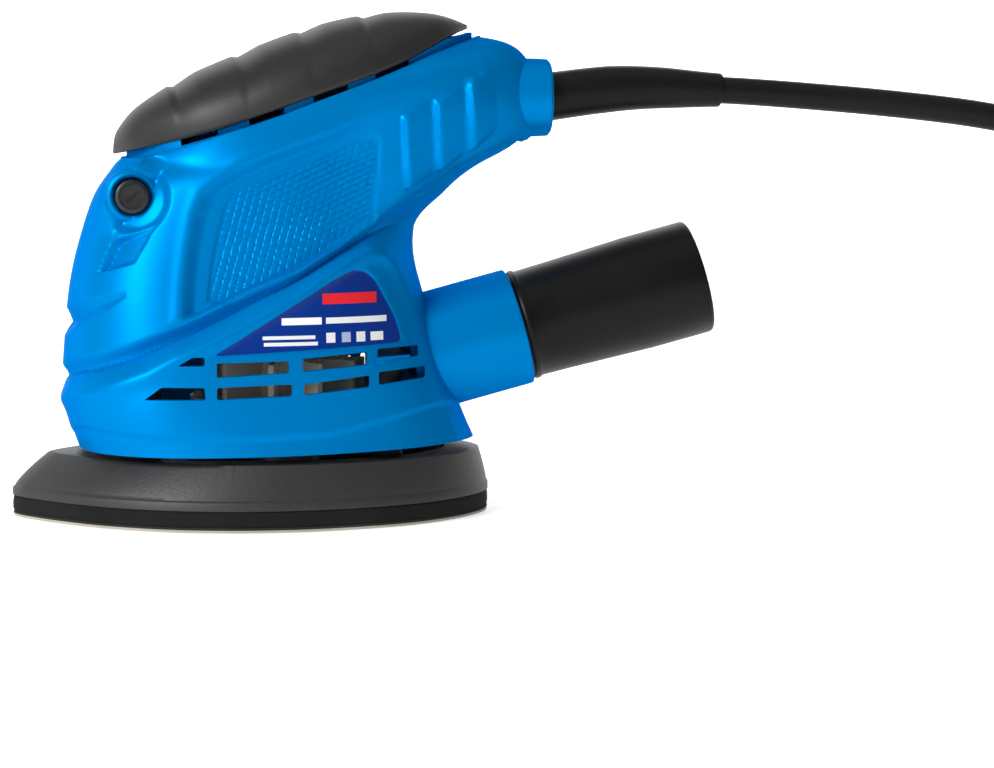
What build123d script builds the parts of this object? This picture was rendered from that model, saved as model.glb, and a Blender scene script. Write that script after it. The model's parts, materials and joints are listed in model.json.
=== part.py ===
"""Detail (mouse) sander: a palm-held delta sander with an orbiting pad.

Frame: +X towards the back of the tool, +Z up, origin on the sole under the motor axis.
The left side of the tool is -Y.  Millimetres.
"""
from build123d import *

import os
from math import atan2, cos, pi, radians, sin, tan

os.makedirs("parts", exist_ok=True)

# ---------------------------------------------------------------- driving dimensions
SHELL = 2.4                      # wall of the two body shells
ORBIT = 1.0                      # eccentric offset of the pad drive
FIT = 0.05                       # clearance of a fixed fit
RUNNING = 0.03                   # radial clearance of a running fit

PAD_FRONT, PAD_REAR = -78.0, 62.0
PAD_HALF = 46.2                  # widest half-width of the pad
SHEET_TOP, HOOK_TOP = 0.7, 1.4   # abrasive sheet and hook layer
FOAM_TOP, LIP_TOP, DECK = 6.0, 8.8, 18.8
POSTS = [(-38, 20), (-38, -20), (31, 16.5), (31, -16.5)]
POST_R, POST_LOW, POST_HIGH = 4.0, 12.0, 46.0
POST_PLAY = 0.25                 # round a post's top in its socket
PAD_HOLES = [(-50, 0), (-24, 27), (-24, -27), (12, 28), (12, -28), (46, 0)]
PAD_HOLE_R = 3.5

CAN_R, CAN_WALL, CAN_LOW, CAN_HIGH = 21.0, 1.5, 53.5, 101.0
FAN_R, FAN_LOW, FAN_HIGH, FAN_BLADES = 26.0, 33.0, 45.5, 11
SHAFT_R, SHAFT_LOW, SHAFT_HIGH = 4.0, 22.5, 111.0
BEARING_R, BEARING_T = 11.0, 7.0

BUTTON_X, BUTTON_Z, BUTTON_R = -42.6, 94.1, 4.4
BUTTON_TRAVEL = 3.5
RING_R, RING_FACE, RING_ROOT = 7.8, 27.5, 12.0

SPIGOT_TILT = 15.0               # degrees above +X
SPIGOT_END = (71.4, 54.1)        # x, z of the outer end's centre
SPIGOT_R, SPIGOT_BORE, SPIGOT_LEN = 17.4, 15.2, 34.0
ADAPTER_ROOT_R, ADAPTER_R, ADAPTER_BORE = 15.8, 17.05, 13.2
ADAPTER_LEN, ADAPTER_STRAIGHT, ADAPTER_PLUG = 55.9, 20.0, 18.0
MOUTH_R, MOUTH_LEN = 15.0, 30.0

CORD_D = 8.0
CORD_Z = 121.5                   # height of the cord where it enters the handle
COIL_X, COIL_MEAN = 352.0, 42.0  # centre and mean radius of the put-away coil
COIL_WIDE, COIL_HIGH = 3, 2      # turns side by side and on each other

# The body's skin: fore and aft points (x, z) of each section, and its half-widths at STATIONS.
STATIONS = (0.05, 0.18, 0.42, 0.70, 0.92)
SKIN = [
    ((-59.0, 20.6), (57.5, 21.9), (25.0, 39.0, 43.8, 37.5, 21.0)),
    ((-62.5, 32.0), (53.9, 30.3), (26.0, 39.5, 43.0, 37.5, 22.0)),
    ((-62.7, 48.0), (47.8, 48.0), (25.0, 37.5, 41.0, 36.5, 22.5)),
    ((-61.5, 62.0), (43.5, 62.0), (23.5, 35.5, 38.5, 34.5, 20.5)),
    ((-59.5, 74.0), (41.1, 74.0), (22.0, 33.5, 36.5, 32.5, 18.5)),
    ((-56.6, 84.5), (42.5, 84.0), (21.0, 32.0, 35.0, 30.5, 17.0)),
    ((-53.0, 94.0), (50.0, 93.5), (20.0, 31.0, 33.5, 28.0, 15.5)),
    ((-49.0, 100.0), (62.0, 100.5), (19.0, 30.5, 32.5, 25.5, 14.0)),
    ((-47.0, 103.0), (75.4, 109.0), (18.0, 30.0, 31.5, 23.0, 13.0)),
    ((-46.3, 104.0), (77.0, 122.0), (17.0, 29.5, 31.0, 23.5, 13.5)),
    ((-45.8, 104.7), (71.0, 133.0), (16.5, 29.0, 30.5, 24.5, 12.5)),
    ((-45.5, 105.0), (60.0, 136.5), (16.0, 28.5, 30.0, 25.0, 11.5)),
]

# The neck under the grip: distance along the shoulder plane and half-width.
NECK = [(8.0, 12.0), (28.0, 23.5), (56.0, 26.0), (84.0, 20.0), (101.0, 9.0)]
NECK_END, NECK_HEIGHT = 107.0, 12.0
NECK_SLOTS = [(-23.1, 10.7), (-4.3, 10.6), (13.9, 10.1), (32.0, 9.8)]   # middle x and width

# The grip: distance along its chord, half-width and crown height.
GRIP_TIPS = (-47.6, 106.0), (56.1, 142.7)
GRIP = [(1.0, 1.6, 1.6), (8.0, 12.5, 8.4), (24.0, 24.0, 12.8), (57.0, 29.5, 15.0),
        (88.0, 22.0, 12.0), (103.0, 10.0, 5.2), (109.0, 1.6, 1.2)]
GRIP_WALL = 2.6

HOUSING_SCREWS = [(-51, 40), (-50, 71), (31, 74), (45, 98), (62, 111)]
BOSS_R, SCREW_R, HEAD_R, HEAD_WELL = 5.0, 1.4, 3.0, 3.3
HEAD_SEAT, HEAD_T, SCREW_DEPTH = 8.0, 2.2, 11.0
CAN_RIBS = [(51.5, 53.5), (94.0, 95.5)]
POST_PLATES = [(-58.0, -28.0), (26.0, 36.5)]
CLAMP_X, CLAMP_Z = 48.5, (115.5, 127.5)
COLLAR_R, COLLAR_X0, COLLAR_X1 = 11.3, 64.0, 80.5
BOOT_HOLE, FLANGE_R, FLANGE_X0, FLANGE_X1 = 7.8, 9.5, 72.0, 75.0
REACH = 60.0                     # a length that passes every wall

# Side-view outlines (x, z) of the rating label and the cooling slots.
LABEL = [(-21.7, 49.3), (-15.8, 52.6), (1.2, 62.9), (12.5, 69.6), (20.4, 73.0), (23.8, 72.4),
         (26.6, 70.0), (32.3, 59.8), (34.8, 51.8)]
VENTS = [
    [(-30.6, 46.9), (-26.4, 49.4), (-23.0, 49.3), (-23.0, 46.8)],
    [(-19.7, 43.6), (-19.7, 47.6), (0.7, 47.9), (0.7, 44.5)],
    [(4.6, 44.8), (4.6, 48.5), (23.4, 49.7), (23.4, 46.0)],
    [(26.5, 46.5), (26.5, 50.5), (39.1, 50.6), (39.1, 47.5)],
    [(-40.0, 37.4), (-35.2, 41.0), (-23.1, 40.8), (-22.8, 37.4)],
    [(-19.7, 37.4), (-19.7, 40.8), (1.5, 41.4), (1.5, 38.0)],
    [(4.9, 38.2), (4.9, 41.3), (24.0, 43.1), (24.0, 39.7)],
    [(26.8, 40.2), (26.8, 43.9), (41.1, 44.6), (41.1, 41.2)],
]


def keep(builder, name):
    """Label a finished piece and write its STEP file."""
    builder.part.label = name
    export_step(builder.part, f"parts/{name}.step")


def chord_plane(front, back):
    """Plane through two points of the middle plane, square to it, with its x running aft."""
    slope = atan2(back[1] - front[1], back[0] - front[0])
    return Plane(origin=(front[0], 0, front[1]), x_dir=(cos(slope), 0, sin(slope)),
                 z_dir=(-sin(slope), 0, cos(slope)))


def aft_plane(x, z, tilt=0.0):
    """Plane at a point of the middle plane whose normal runs aft, tilted up."""
    lean = radians(tilt)
    return Plane(origin=(x, 0, z), x_dir=(0, 1, 0), z_dir=(cos(lean), 0, sin(lean)))


def side_plane(side, out=0.0):
    """Side-view plane at a distance out from the middle, its normal pointing outwards."""
    return Plane(origin=(0, side * out, 0), x_dir=(-side, 0, 0), z_dir=(0, side, 0))


def seen_from(side, points):
    """Side-view points (x, z) as local points of side_plane."""
    return [(-side * x, z) for x, z in points]


SHOULDER = chord_plane(SKIN[-1][0], SKIN[-1][1])
GRIP_PLANE = chord_plane(*GRIP_TIPS)
SPIGOT_DIR = (cos(radians(SPIGOT_TILT)), sin(radians(SPIGOT_TILT)))


def along_spigot(distance):
    """Plane square to the dust spigot's axis, at a distance past its outer end."""
    return aft_plane(SPIGOT_END[0] + distance * SPIGOT_DIR[0],
                     SPIGOT_END[1] + distance * SPIGOT_DIR[1], SPIGOT_TILT)


# ---------------------------------------------------------------- body shells
def skin_section(front, back, widths, inset):
    """Left half section of the body on the plane through its fore and aft points."""
    length = ((back[0] - front[0]) ** 2 + (back[1] - front[1]) ** 2) ** 0.5
    span = length - 2 * inset
    side = [(inset + s * span, inset - w) for s, w in zip(STATIONS, widths)]
    with BuildSketch(chord_plane(front, back)) as half:
        with BuildLine():
            Spline([(inset, 0)] + side + [(length - inset, 0)], tangents=[(0, -1), (0, 1)])
            Line((length - inset, 0), (inset, 0))
        make_face()
    return half.sketch


def half_body(inset, over=0.0):
    """The left half of the body as a solid, its skin moved in by inset, its ends out by over."""
    shifts = [-over] + [0.0] * (len(SKIN) - 2) + [over]
    with BuildPart() as half:
        for (front, back, widths), shift in zip(SKIN, shifts):
            add(skin_section((front[0], front[1] + shift), (back[0], back[1] + shift),
                             widths, inset))
        loft()
    return half.part


def neck_profile(plane, inset):
    """Lens-shaped outline of the neck under the grip, on a plane along the shoulder."""
    points = [(s, w - inset) for s, w in NECK]
    mirrored = [(s, -w) for s, w in reversed(points)]
    with BuildSketch(plane) as profile:
        with BuildLine():
            Spline([(inset, 0)] + points + [(NECK_END - inset, 0)])
            Spline([(NECK_END - inset, 0)] + mirrored + [(inset, 0)])
        make_face()
    return profile.sketch


outer_half = half_body(0)
inner_half = half_body(SHELL, 0.6)


def cavity(side):
    """The room inside one half, less its ribs, post plates and screw bosses."""
    with BuildPart() as hollow:
        add(inner_half if side < 0 else mirror(inner_half, about=Plane.XZ))
        with BuildSketch(SHOULDER.offset(-SHELL)):
            Rectangle(6 * REACH, 4 * REACH)
        extrude(amount=NECK_HEIGHT, mode=Mode.SUBTRACT)
        for low, high in CAN_RIBS:
            with BuildSketch(Plane.XY.offset(low)):
                with Locations((-2, 0)):
                    Rectangle(60, 2 * REACH)
                Circle(CAN_R + 0.3, mode=Mode.SUBTRACT)
            extrude(amount=high - low, mode=Mode.SUBTRACT)
        for fore, aft in POST_PLATES:
            with BuildSketch(Plane.XY.offset(POST_HIGH)):
                with Locations(((fore + aft) / 2, 0)):
                    Rectangle(aft - fore, 2 * REACH)
            extrude(amount=2, mode=Mode.SUBTRACT)
        with BuildSketch(Plane.XY.offset(POST_HIGH - 5)):
            with Locations(*POSTS):
                Circle(POST_R + 1.6)
                Circle(POST_R + POST_PLAY, mode=Mode.SUBTRACT)
        extrude(amount=5, mode=Mode.SUBTRACT)
        with BuildSketch(side_plane(side)):
            with Locations(*seen_from(side, HOUSING_SCREWS)):
                Circle(BOSS_R)
        extrude(amount=REACH, mode=Mode.SUBTRACT)
    return hollow.part


def body_half(side, name):
    """One body shell: -1 is the left half, +1 the right."""
    skin = outer_half if side < 0 else mirror(outer_half, about=Plane.XZ)
    room = cavity(side)
    button_at = seen_from(side, [(BUTTON_X, BUTTON_Z)])
    screws_at = seen_from(side, HOUSING_SCREWS)
    with BuildPart() as half:
        add(skin)
        add(room, mode=Mode.SUBTRACT)
        # neck, cord collar and button ring
        add(neck_profile(SHOULDER.offset(-SHELL), 0))
        extrude(amount=NECK_HEIGHT)
        with BuildSketch(aft_plane(COLLAR_X0, CORD_Z)):
            Circle(COLLAR_R)
        extrude(amount=COLLAR_X1 - COLLAR_X0)
        with BuildSketch(side_plane(side, RING_ROOT)):
            with Locations(*button_at):
                Circle(RING_R)
        extrude(amount=RING_FACE - RING_ROOT)
        # the neck's room, its slots, and all above the plane that the grip sits on
        add(neck_profile(SHOULDER.offset(-2 * SHELL), SHELL))
        extrude(amount=NECK_HEIGHT + 2 * SHELL, mode=Mode.SUBTRACT)
        for middle, wide in NECK_SLOTS:
            along = (middle - SHOULDER.origin.X) / SHOULDER.x_dir.X
            with BuildSketch(SHOULDER.offset(0.8)):
                with Locations((along, 0)):
                    Rectangle(wide, 2 * REACH)
            extrude(amount=NECK_HEIGHT, mode=Mode.SUBTRACT)
        with BuildSketch(GRIP_PLANE):
            Rectangle(6 * REACH, 4 * REACH)
        extrude(amount=REACH, mode=Mode.SUBTRACT)
        # the strain relief's seat in the collar
        with BuildSketch(aft_plane(COLLAR_X0 - 4, CORD_Z)):
            Circle(BOOT_HOLE)
        extrude(amount=COLLAR_X1 - COLLAR_X0 + 8, mode=Mode.SUBTRACT)
        with BuildSketch(aft_plane(FLANGE_X0, CORD_Z)):
            Circle(FLANGE_R + FIT)
        extrude(amount=FLANGE_X1 - FLANGE_X0, mode=Mode.SUBTRACT)
        # the dust spigot's hole, the button's hole and the cooling slots
        with BuildSketch(along_spigot(-SPIGOT_LEN - 2)):
            Circle(SPIGOT_R + FIT)
        extrude(amount=SPIGOT_LEN + 4, mode=Mode.SUBTRACT)
        with BuildSketch(side_plane(side)):
            with Locations(*button_at):
                Circle(BUTTON_R + 0.35)
        extrude(amount=REACH, mode=Mode.SUBTRACT)
        for slot in VENTS:
            with BuildSketch(side_plane(side, 12)):
                Polygon(*seen_from(side, slot), align=None)
            extrude(amount=REACH, mode=Mode.SUBTRACT)
        # screw holes: blind in the left half, through with a head well in the right
        with BuildSketch(side_plane(side)):
            with Locations(*screws_at):
                Circle(SCREW_R)
        extrude(amount=SCREW_DEPTH, mode=Mode.SUBTRACT)
        if side > 0:
            with BuildSketch(side_plane(side, HEAD_SEAT)):
                with Locations(*screws_at):
                    Circle(HEAD_WELL)
            extrude(amount=REACH, mode=Mode.SUBTRACT)
        # keep only this side of the middle plane
        with BuildSketch(side_plane(-side)):
            Rectangle(6 * REACH, 8 * REACH)
        extrude(amount=2 * REACH, mode=Mode.SUBTRACT)
        if side < 0:
            add(label_room(), mode=Mode.SUBTRACT)
    keep(half, name)


def label_room():
    """The shallow recess of the rating label in the left skin."""
    with BuildPart() as room:
        with BuildSketch(side_plane(-1, 12)):
            Polygon(*seen_from(-1, LABEL), align=None)
        extrude(amount=REACH)
        add(half_body(0.6), mode=Mode.SUBTRACT)
    return room.part


def rating_label():
    """Thin plate that follows the skin inside its recess."""
    with BuildPart() as label:
        add(half_body(0.1))
        add(half_body(0.6), mode=Mode.SUBTRACT)
        with BuildSketch(side_plane(-1, 12)):
            Polygon(*seen_from(-1, LABEL), align=None)
            offset(amount=-0.15)
        extrude(amount=REACH, mode=Mode.INTERSECT)
    keep(label, "rating_label")


def grip_cover():
    """Cushioned palm grip: a lens-shaped dome with a hollow underside."""
    with BuildPart() as grip:
        for wall, mode in ((0.0, Mode.ADD), (GRIP_WALL, Mode.SUBTRACT)):
            stations = [g for g in GRIP if g[2] - wall > 2] if wall else GRIP
            with BuildPart(mode=mode):
                for s, wide, high in stations:
                    shift = (57 - s) / 57 * wall
                    with BuildSketch(Plane(origin=GRIP_PLANE.from_local_coords((s + shift, 0, 0)),
                                           x_dir=(0, 1, 0), z_dir=GRIP_PLANE.x_dir)):
                        Ellipse(wide - wall, high - wall)
                loft()
        with BuildSketch(GRIP_PLANE):
            Rectangle(8 * REACH, 4 * REACH)
        extrude(amount=-REACH, mode=Mode.SUBTRACT)
    keep(grip, "grip_cover")


def housing_screws():
    """Five screws that hold the halves together, heads in the right half."""
    with BuildPart() as screws:
        with BuildSketch(Plane.XZ.offset(SCREW_DEPTH - 0.5)):
            with Locations(*HOUSING_SCREWS):
                Circle(SCREW_R)
        extrude(amount=-(SCREW_DEPTH - 0.5 + HEAD_SEAT))
        with BuildSketch(Plane.XZ.offset(-HEAD_SEAT)):
            with Locations(*HOUSING_SCREWS):
                Circle(HEAD_R)
        extrude(amount=-HEAD_T)
        with BuildSketch(Plane.XZ.offset(-HEAD_SEAT - HEAD_T)):
            with Locations(*HOUSING_SCREWS):
                Rectangle(3.6, 0.8)
                Rectangle(0.8, 3.6)
        extrude(amount=1.2, mode=Mode.SUBTRACT)
    keep(screws, "housing_screws")


# ---------------------------------------------------------------- pad and platen
def pad_profile(height, front=0.0, side=0.0, rear=0.0):
    """Sketch of the delta pad at a height, drawn in by the given amounts."""
    stretch = (PAD_REAR - rear - PAD_FRONT - front) / (PAD_REAR - PAD_FRONT)
    narrow = (PAD_HALF - side) / PAD_HALF
    outline = [(-72.8, 9.2), (-55.5, 27.8), (-37.3, 39.6), (-10.9, PAD_HALF),
               (16.2, 43.3), (38.4, 34.0), (53.6, 20.0)]
    points = [(PAD_FRONT + front + (x - PAD_FRONT) * stretch, y * narrow) for x, y in outline]
    tip, heel = (PAD_FRONT + front, 0), (PAD_REAR - rear, 0)
    with BuildSketch(Plane.XY.offset(height)) as profile:
        with BuildLine():
            Spline([tip] + points + [heel], tangents=[(0.25, 1), (0, -1)])
            mirror(about=Plane.XZ)
        make_face()
    return profile.sketch


def pad_layer(name, low, high, inset=0.0):
    """One flat layer of the pad with its dust holes."""
    with BuildPart() as layer:
        add(pad_profile(low, inset, inset, inset))
        extrude(amount=high - low)
        with BuildSketch(Plane.XY.offset(low)):
            with Locations(*PAD_HOLES):
                Circle(PAD_HOLE_R)
        extrude(amount=high - low, mode=Mode.SUBTRACT)
    keep(layer, name)


BOSS_TOP, BEARING_LOW = 20.8, 13.0
FLOOR = 9.5                      # top of the platen's floor inside its dust well


def platen():
    """Moulded plate: upright lip, sloped sides, dust well, bearing boss and post sockets."""
    with BuildPart() as plate:
        add(pad_profile(FOAM_TOP))
        extrude(amount=LIP_TOP - FOAM_TOP)
        add(pad_profile(LIP_TOP))
        add(pad_profile(DECK, 10.5, 4.0, 2.8))
        loft()
        add(pad_profile(FLOOR, 26, 14, 14))
        extrude(amount=DECK - FLOOR, mode=Mode.SUBTRACT)
        with BuildSketch(Plane.XY.offset(FOAM_TOP)):
            with Locations((ORBIT, 0)):
                Circle(BEARING_R + 3)
        extrude(amount=BOSS_TOP - FOAM_TOP)
        with BuildSketch(Plane.XY.offset(FOAM_TOP)):
            with Locations(*POSTS):
                Circle(POST_R + 2)
        extrude(amount=DECK - FOAM_TOP)
        with BuildSketch(Plane.XY.offset(BEARING_LOW)):
            with Locations((ORBIT, 0)):
                Circle(BEARING_R)
        extrude(amount=BOSS_TOP - BEARING_LOW, mode=Mode.SUBTRACT)
        with BuildSketch(Plane.XY.offset(FOAM_TOP)):
            with Locations((ORBIT, 0)):
                Circle(BEARING_R - 1.5)
            with Locations(*PAD_HOLES):
                Circle(PAD_HOLE_R)
            with Locations(*POSTS):
                Circle(SCREW_R)
        extrude(amount=DECK - FOAM_TOP, mode=Mode.SUBTRACT)
        with BuildSketch(Plane.XY.offset(POST_LOW)):
            with Locations(*POSTS):
                Circle(POST_R + FIT)
        extrude(amount=DECK - POST_LOW, mode=Mode.SUBTRACT)
        with BuildSketch(Plane.XY.offset(FOAM_TOP)):
            with Locations(*POSTS):
                Circle(HEAD_WELL)
        extrude(amount=3, mode=Mode.SUBTRACT)
    keep(plate, "platen")


def ring_bearing(name, x, low):
    """Shielded ball bearing as one ring, with the grooves of its shields."""
    with BuildPart() as ring:
        with BuildSketch(Plane.XY.offset(low)):
            with Locations((x, 0)):
                Circle(BEARING_R)
                Circle(SHAFT_R + RUNNING, mode=Mode.SUBTRACT)
        extrude(amount=BEARING_T)
        for face in (low, low + BEARING_T - 0.5):
            with BuildSketch(Plane.XY.offset(face)):
                with Locations((x, 0)):
                    Circle(BEARING_R - 1.6)
                    Circle(SHAFT_R + 1.8, mode=Mode.SUBTRACT)
            extrude(amount=0.5, mode=Mode.SUBTRACT)
    keep(ring, name)


def support_posts():
    """Four waisted rubber posts that let the platen orbit but not turn."""
    waist, seat = POST_R - 0.8, 6.8
    with BuildPart() as posts:
        with BuildSketch(Plane.XZ):
            with BuildLine():
                Polyline((0, POST_LOW), (POST_R, POST_LOW), (POST_R, POST_LOW + seat),
                         (waist, POST_LOW + seat + 2), (waist, POST_HIGH - seat - 2),
                         (POST_R, POST_HIGH - seat), (POST_R, POST_HIGH), (0, POST_HIGH), close=True)
            make_face()
        revolve(axis=Axis.Z)
        one = posts.part
        for x, y in POSTS:
            add(one.moved(Location((x, y, 0))))
        with BuildSketch(Plane.XY.offset(POST_LOW)):
            Circle(POST_R + 1)
        extrude(amount=POST_HIGH - POST_LOW, mode=Mode.SUBTRACT)
        with BuildSketch(Plane.XY.offset(POST_LOW)):
            with Locations(*POSTS):
                Circle(SCREW_R)
        extrude(amount=7.5, mode=Mode.SUBTRACT)
    keep(posts, "support_posts")


def platen_screws():
    """Four screws from under the platen into the posts."""
    with BuildPart() as screws:
        with BuildSketch(Plane.XY.offset(FOAM_TOP + 3)):
            with Locations(*POSTS):
                Circle(SCREW_R)
        extrude(amount=9)
        with BuildSketch(Plane.XY.offset(FOAM_TOP + 3)):
            with Locations(*POSTS):
                Circle(HEAD_R)
        extrude(amount=-HEAD_T)
    keep(screws, "platen_screws")


# ---------------------------------------------------------------- rotor
HUB_LOW, HUB_HIGH, HUB_R = 21.4, 32.0, 8.0
PIN_LOW = 12.4


def rotor_shaft():
    """Motor shaft with a flat at its lower end."""
    with BuildPart() as shaft:
        with BuildSketch(Plane.XY.offset(SHAFT_LOW)):
            Circle(SHAFT_R)
        extrude(amount=SHAFT_HIGH - SHAFT_LOW)
        chamfer(shaft.edges().group_by(Axis.Z)[-1], 0.5)
    keep(shaft, "rotor_shaft")


def eccentric_hub():
    """Steel hub on the shaft's end with the offset pin that drives the platen."""
    with BuildPart() as hub:
        with BuildSketch(Plane.XY.offset(HUB_LOW)):
            Circle(HUB_R)
        extrude(amount=HUB_HIGH - HUB_LOW)
        with BuildSketch(Plane.XY.offset(PIN_LOW)):
            with Locations((ORBIT, 0)):
                Circle(SHAFT_R)
        extrude(amount=HUB_LOW - PIN_LOW)
        with BuildSketch(Plane.XY.offset(HUB_LOW - 0.6)):
            with Locations((ORBIT, 0)):
                Circle(SHAFT_R + 1.5)
        extrude(amount=0.6)
        with BuildSketch(Plane.XY.offset(SHAFT_LOW)):
            Circle(SHAFT_R)
        extrude(amount=HUB_HIGH - SHAFT_LOW, mode=Mode.SUBTRACT)
        with BuildSketch(Plane.XY.offset(PIN_LOW)):
            with Locations((ORBIT, 0)):
                Circle(2)
        extrude(amount=7, mode=Mode.SUBTRACT)
    keep(hub, "eccentric_hub")


def counterweight():
    """Sector weight opposite the eccentric pin, on the hub."""
    with BuildPart() as weight:
        with BuildSketch(Plane.XY.offset(24)):
            Circle(19)
            with Locations((REACH / 2, 0)):
                Rectangle(REACH, REACH, mode=Mode.SUBTRACT)
            Circle(12)
            Circle(HUB_R, mode=Mode.SUBTRACT)
        extrude(amount=6)
    keep(weight, "counterweight")


def eccentric_screw():
    """Screw and washer that hold the bearing on the eccentric pin."""
    with BuildPart() as washer:
        with BuildSketch(Plane.XY.offset(PIN_LOW - 1)):
            with Locations((ORBIT, 0)):
                Circle(6.5)
                Circle(2, mode=Mode.SUBTRACT)
        extrude(amount=1)
    keep(washer, "eccentric_washer")
    with BuildPart() as screw:
        with BuildSketch(Plane.XY.offset(PIN_LOW - 1)):
            with Locations((ORBIT, 0)):
                Circle(2)
        extrude(amount=7.5)
        with BuildSketch(Plane.XY.offset(PIN_LOW - 3.6)):
            with Locations((ORBIT, 0)):
                Circle(3.6)
                RegularPolygon(1.6, 6, mode=Mode.SUBTRACT)
        extrude(amount=2.6)
    keep(screw, "eccentric_screw")


def fan():
    """Moulded radial fan: hub, back plate and straight blades."""
    with BuildPart() as wheel:
        with BuildSketch(Plane.XY.offset(FAN_LOW)):
            Circle(FAN_R)
        extrude(amount=1.8)
        with BuildSketch(Plane.XY.offset(FAN_LOW)):
            Circle(9)
        extrude(amount=FAN_HIGH - FAN_LOW)
        with BuildSketch(Plane.XY.offset(FAN_LOW + 1.8)):
            with PolarLocations((9 + FAN_R) / 2 - 0.4, FAN_BLADES):
                Rectangle(FAN_R - 9.4, 1.6)
        extrude(amount=FAN_HIGH - FAN_LOW - 1.8)
        with BuildSketch(Plane.XY.offset(FAN_LOW)):
            Circle(SHAFT_R)
        extrude(amount=FAN_HIGH - FAN_LOW, mode=Mode.SUBTRACT)
    keep(wheel, "fan")


def armature():
    """Laminated core, end windings and commutator on the shaft."""
    core_r, core_low, core_high, slots = 13.5, 67.5, 86.0, 9
    with BuildPart() as core:
        with BuildSketch(Plane.XY.offset(core_low)):
            Circle(core_r)
            Circle(SHAFT_R, mode=Mode.SUBTRACT)
            with PolarLocations(core_r - 1.5, slots):
                Rectangle(4, 1.6, mode=Mode.SUBTRACT)
        extrude(amount=core_high - core_low)
    keep(core, "armature_core")
    with BuildPart() as coils:
        for low, high in ((core_low - 4.5, core_low), (core_high, core_high + 4.5)):
            with BuildSketch(Plane.XY.offset(low)):
                Circle(11.8)
                Circle(SHAFT_R, mode=Mode.SUBTRACT)
            extrude(amount=high - low)
        fillet(coils.edges().filter_by(GeomType.CIRCLE).filter_by(lambda e: e.radius > 11), 1.5)
    keep(coils, "windings")
    with BuildPart() as bars:
        with BuildSketch(Plane.XY.offset(core_high + 5)):
            Circle(6.5)
            Circle(SHAFT_R, mode=Mode.SUBTRACT)
        extrude(amount=8)
        with BuildSketch(Plane.XY.offset(core_high + 6)):
            with PolarLocations(6.4, slots):
                Rectangle(1.2, 0.5)
        extrude(amount=7, mode=Mode.SUBTRACT)
    keep(bars, "commutator")


# ---------------------------------------------------------------- motor, fixed pieces
CUP_LOW = CAN_LOW + 1.5
TOP_BEARING = 102.5


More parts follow.
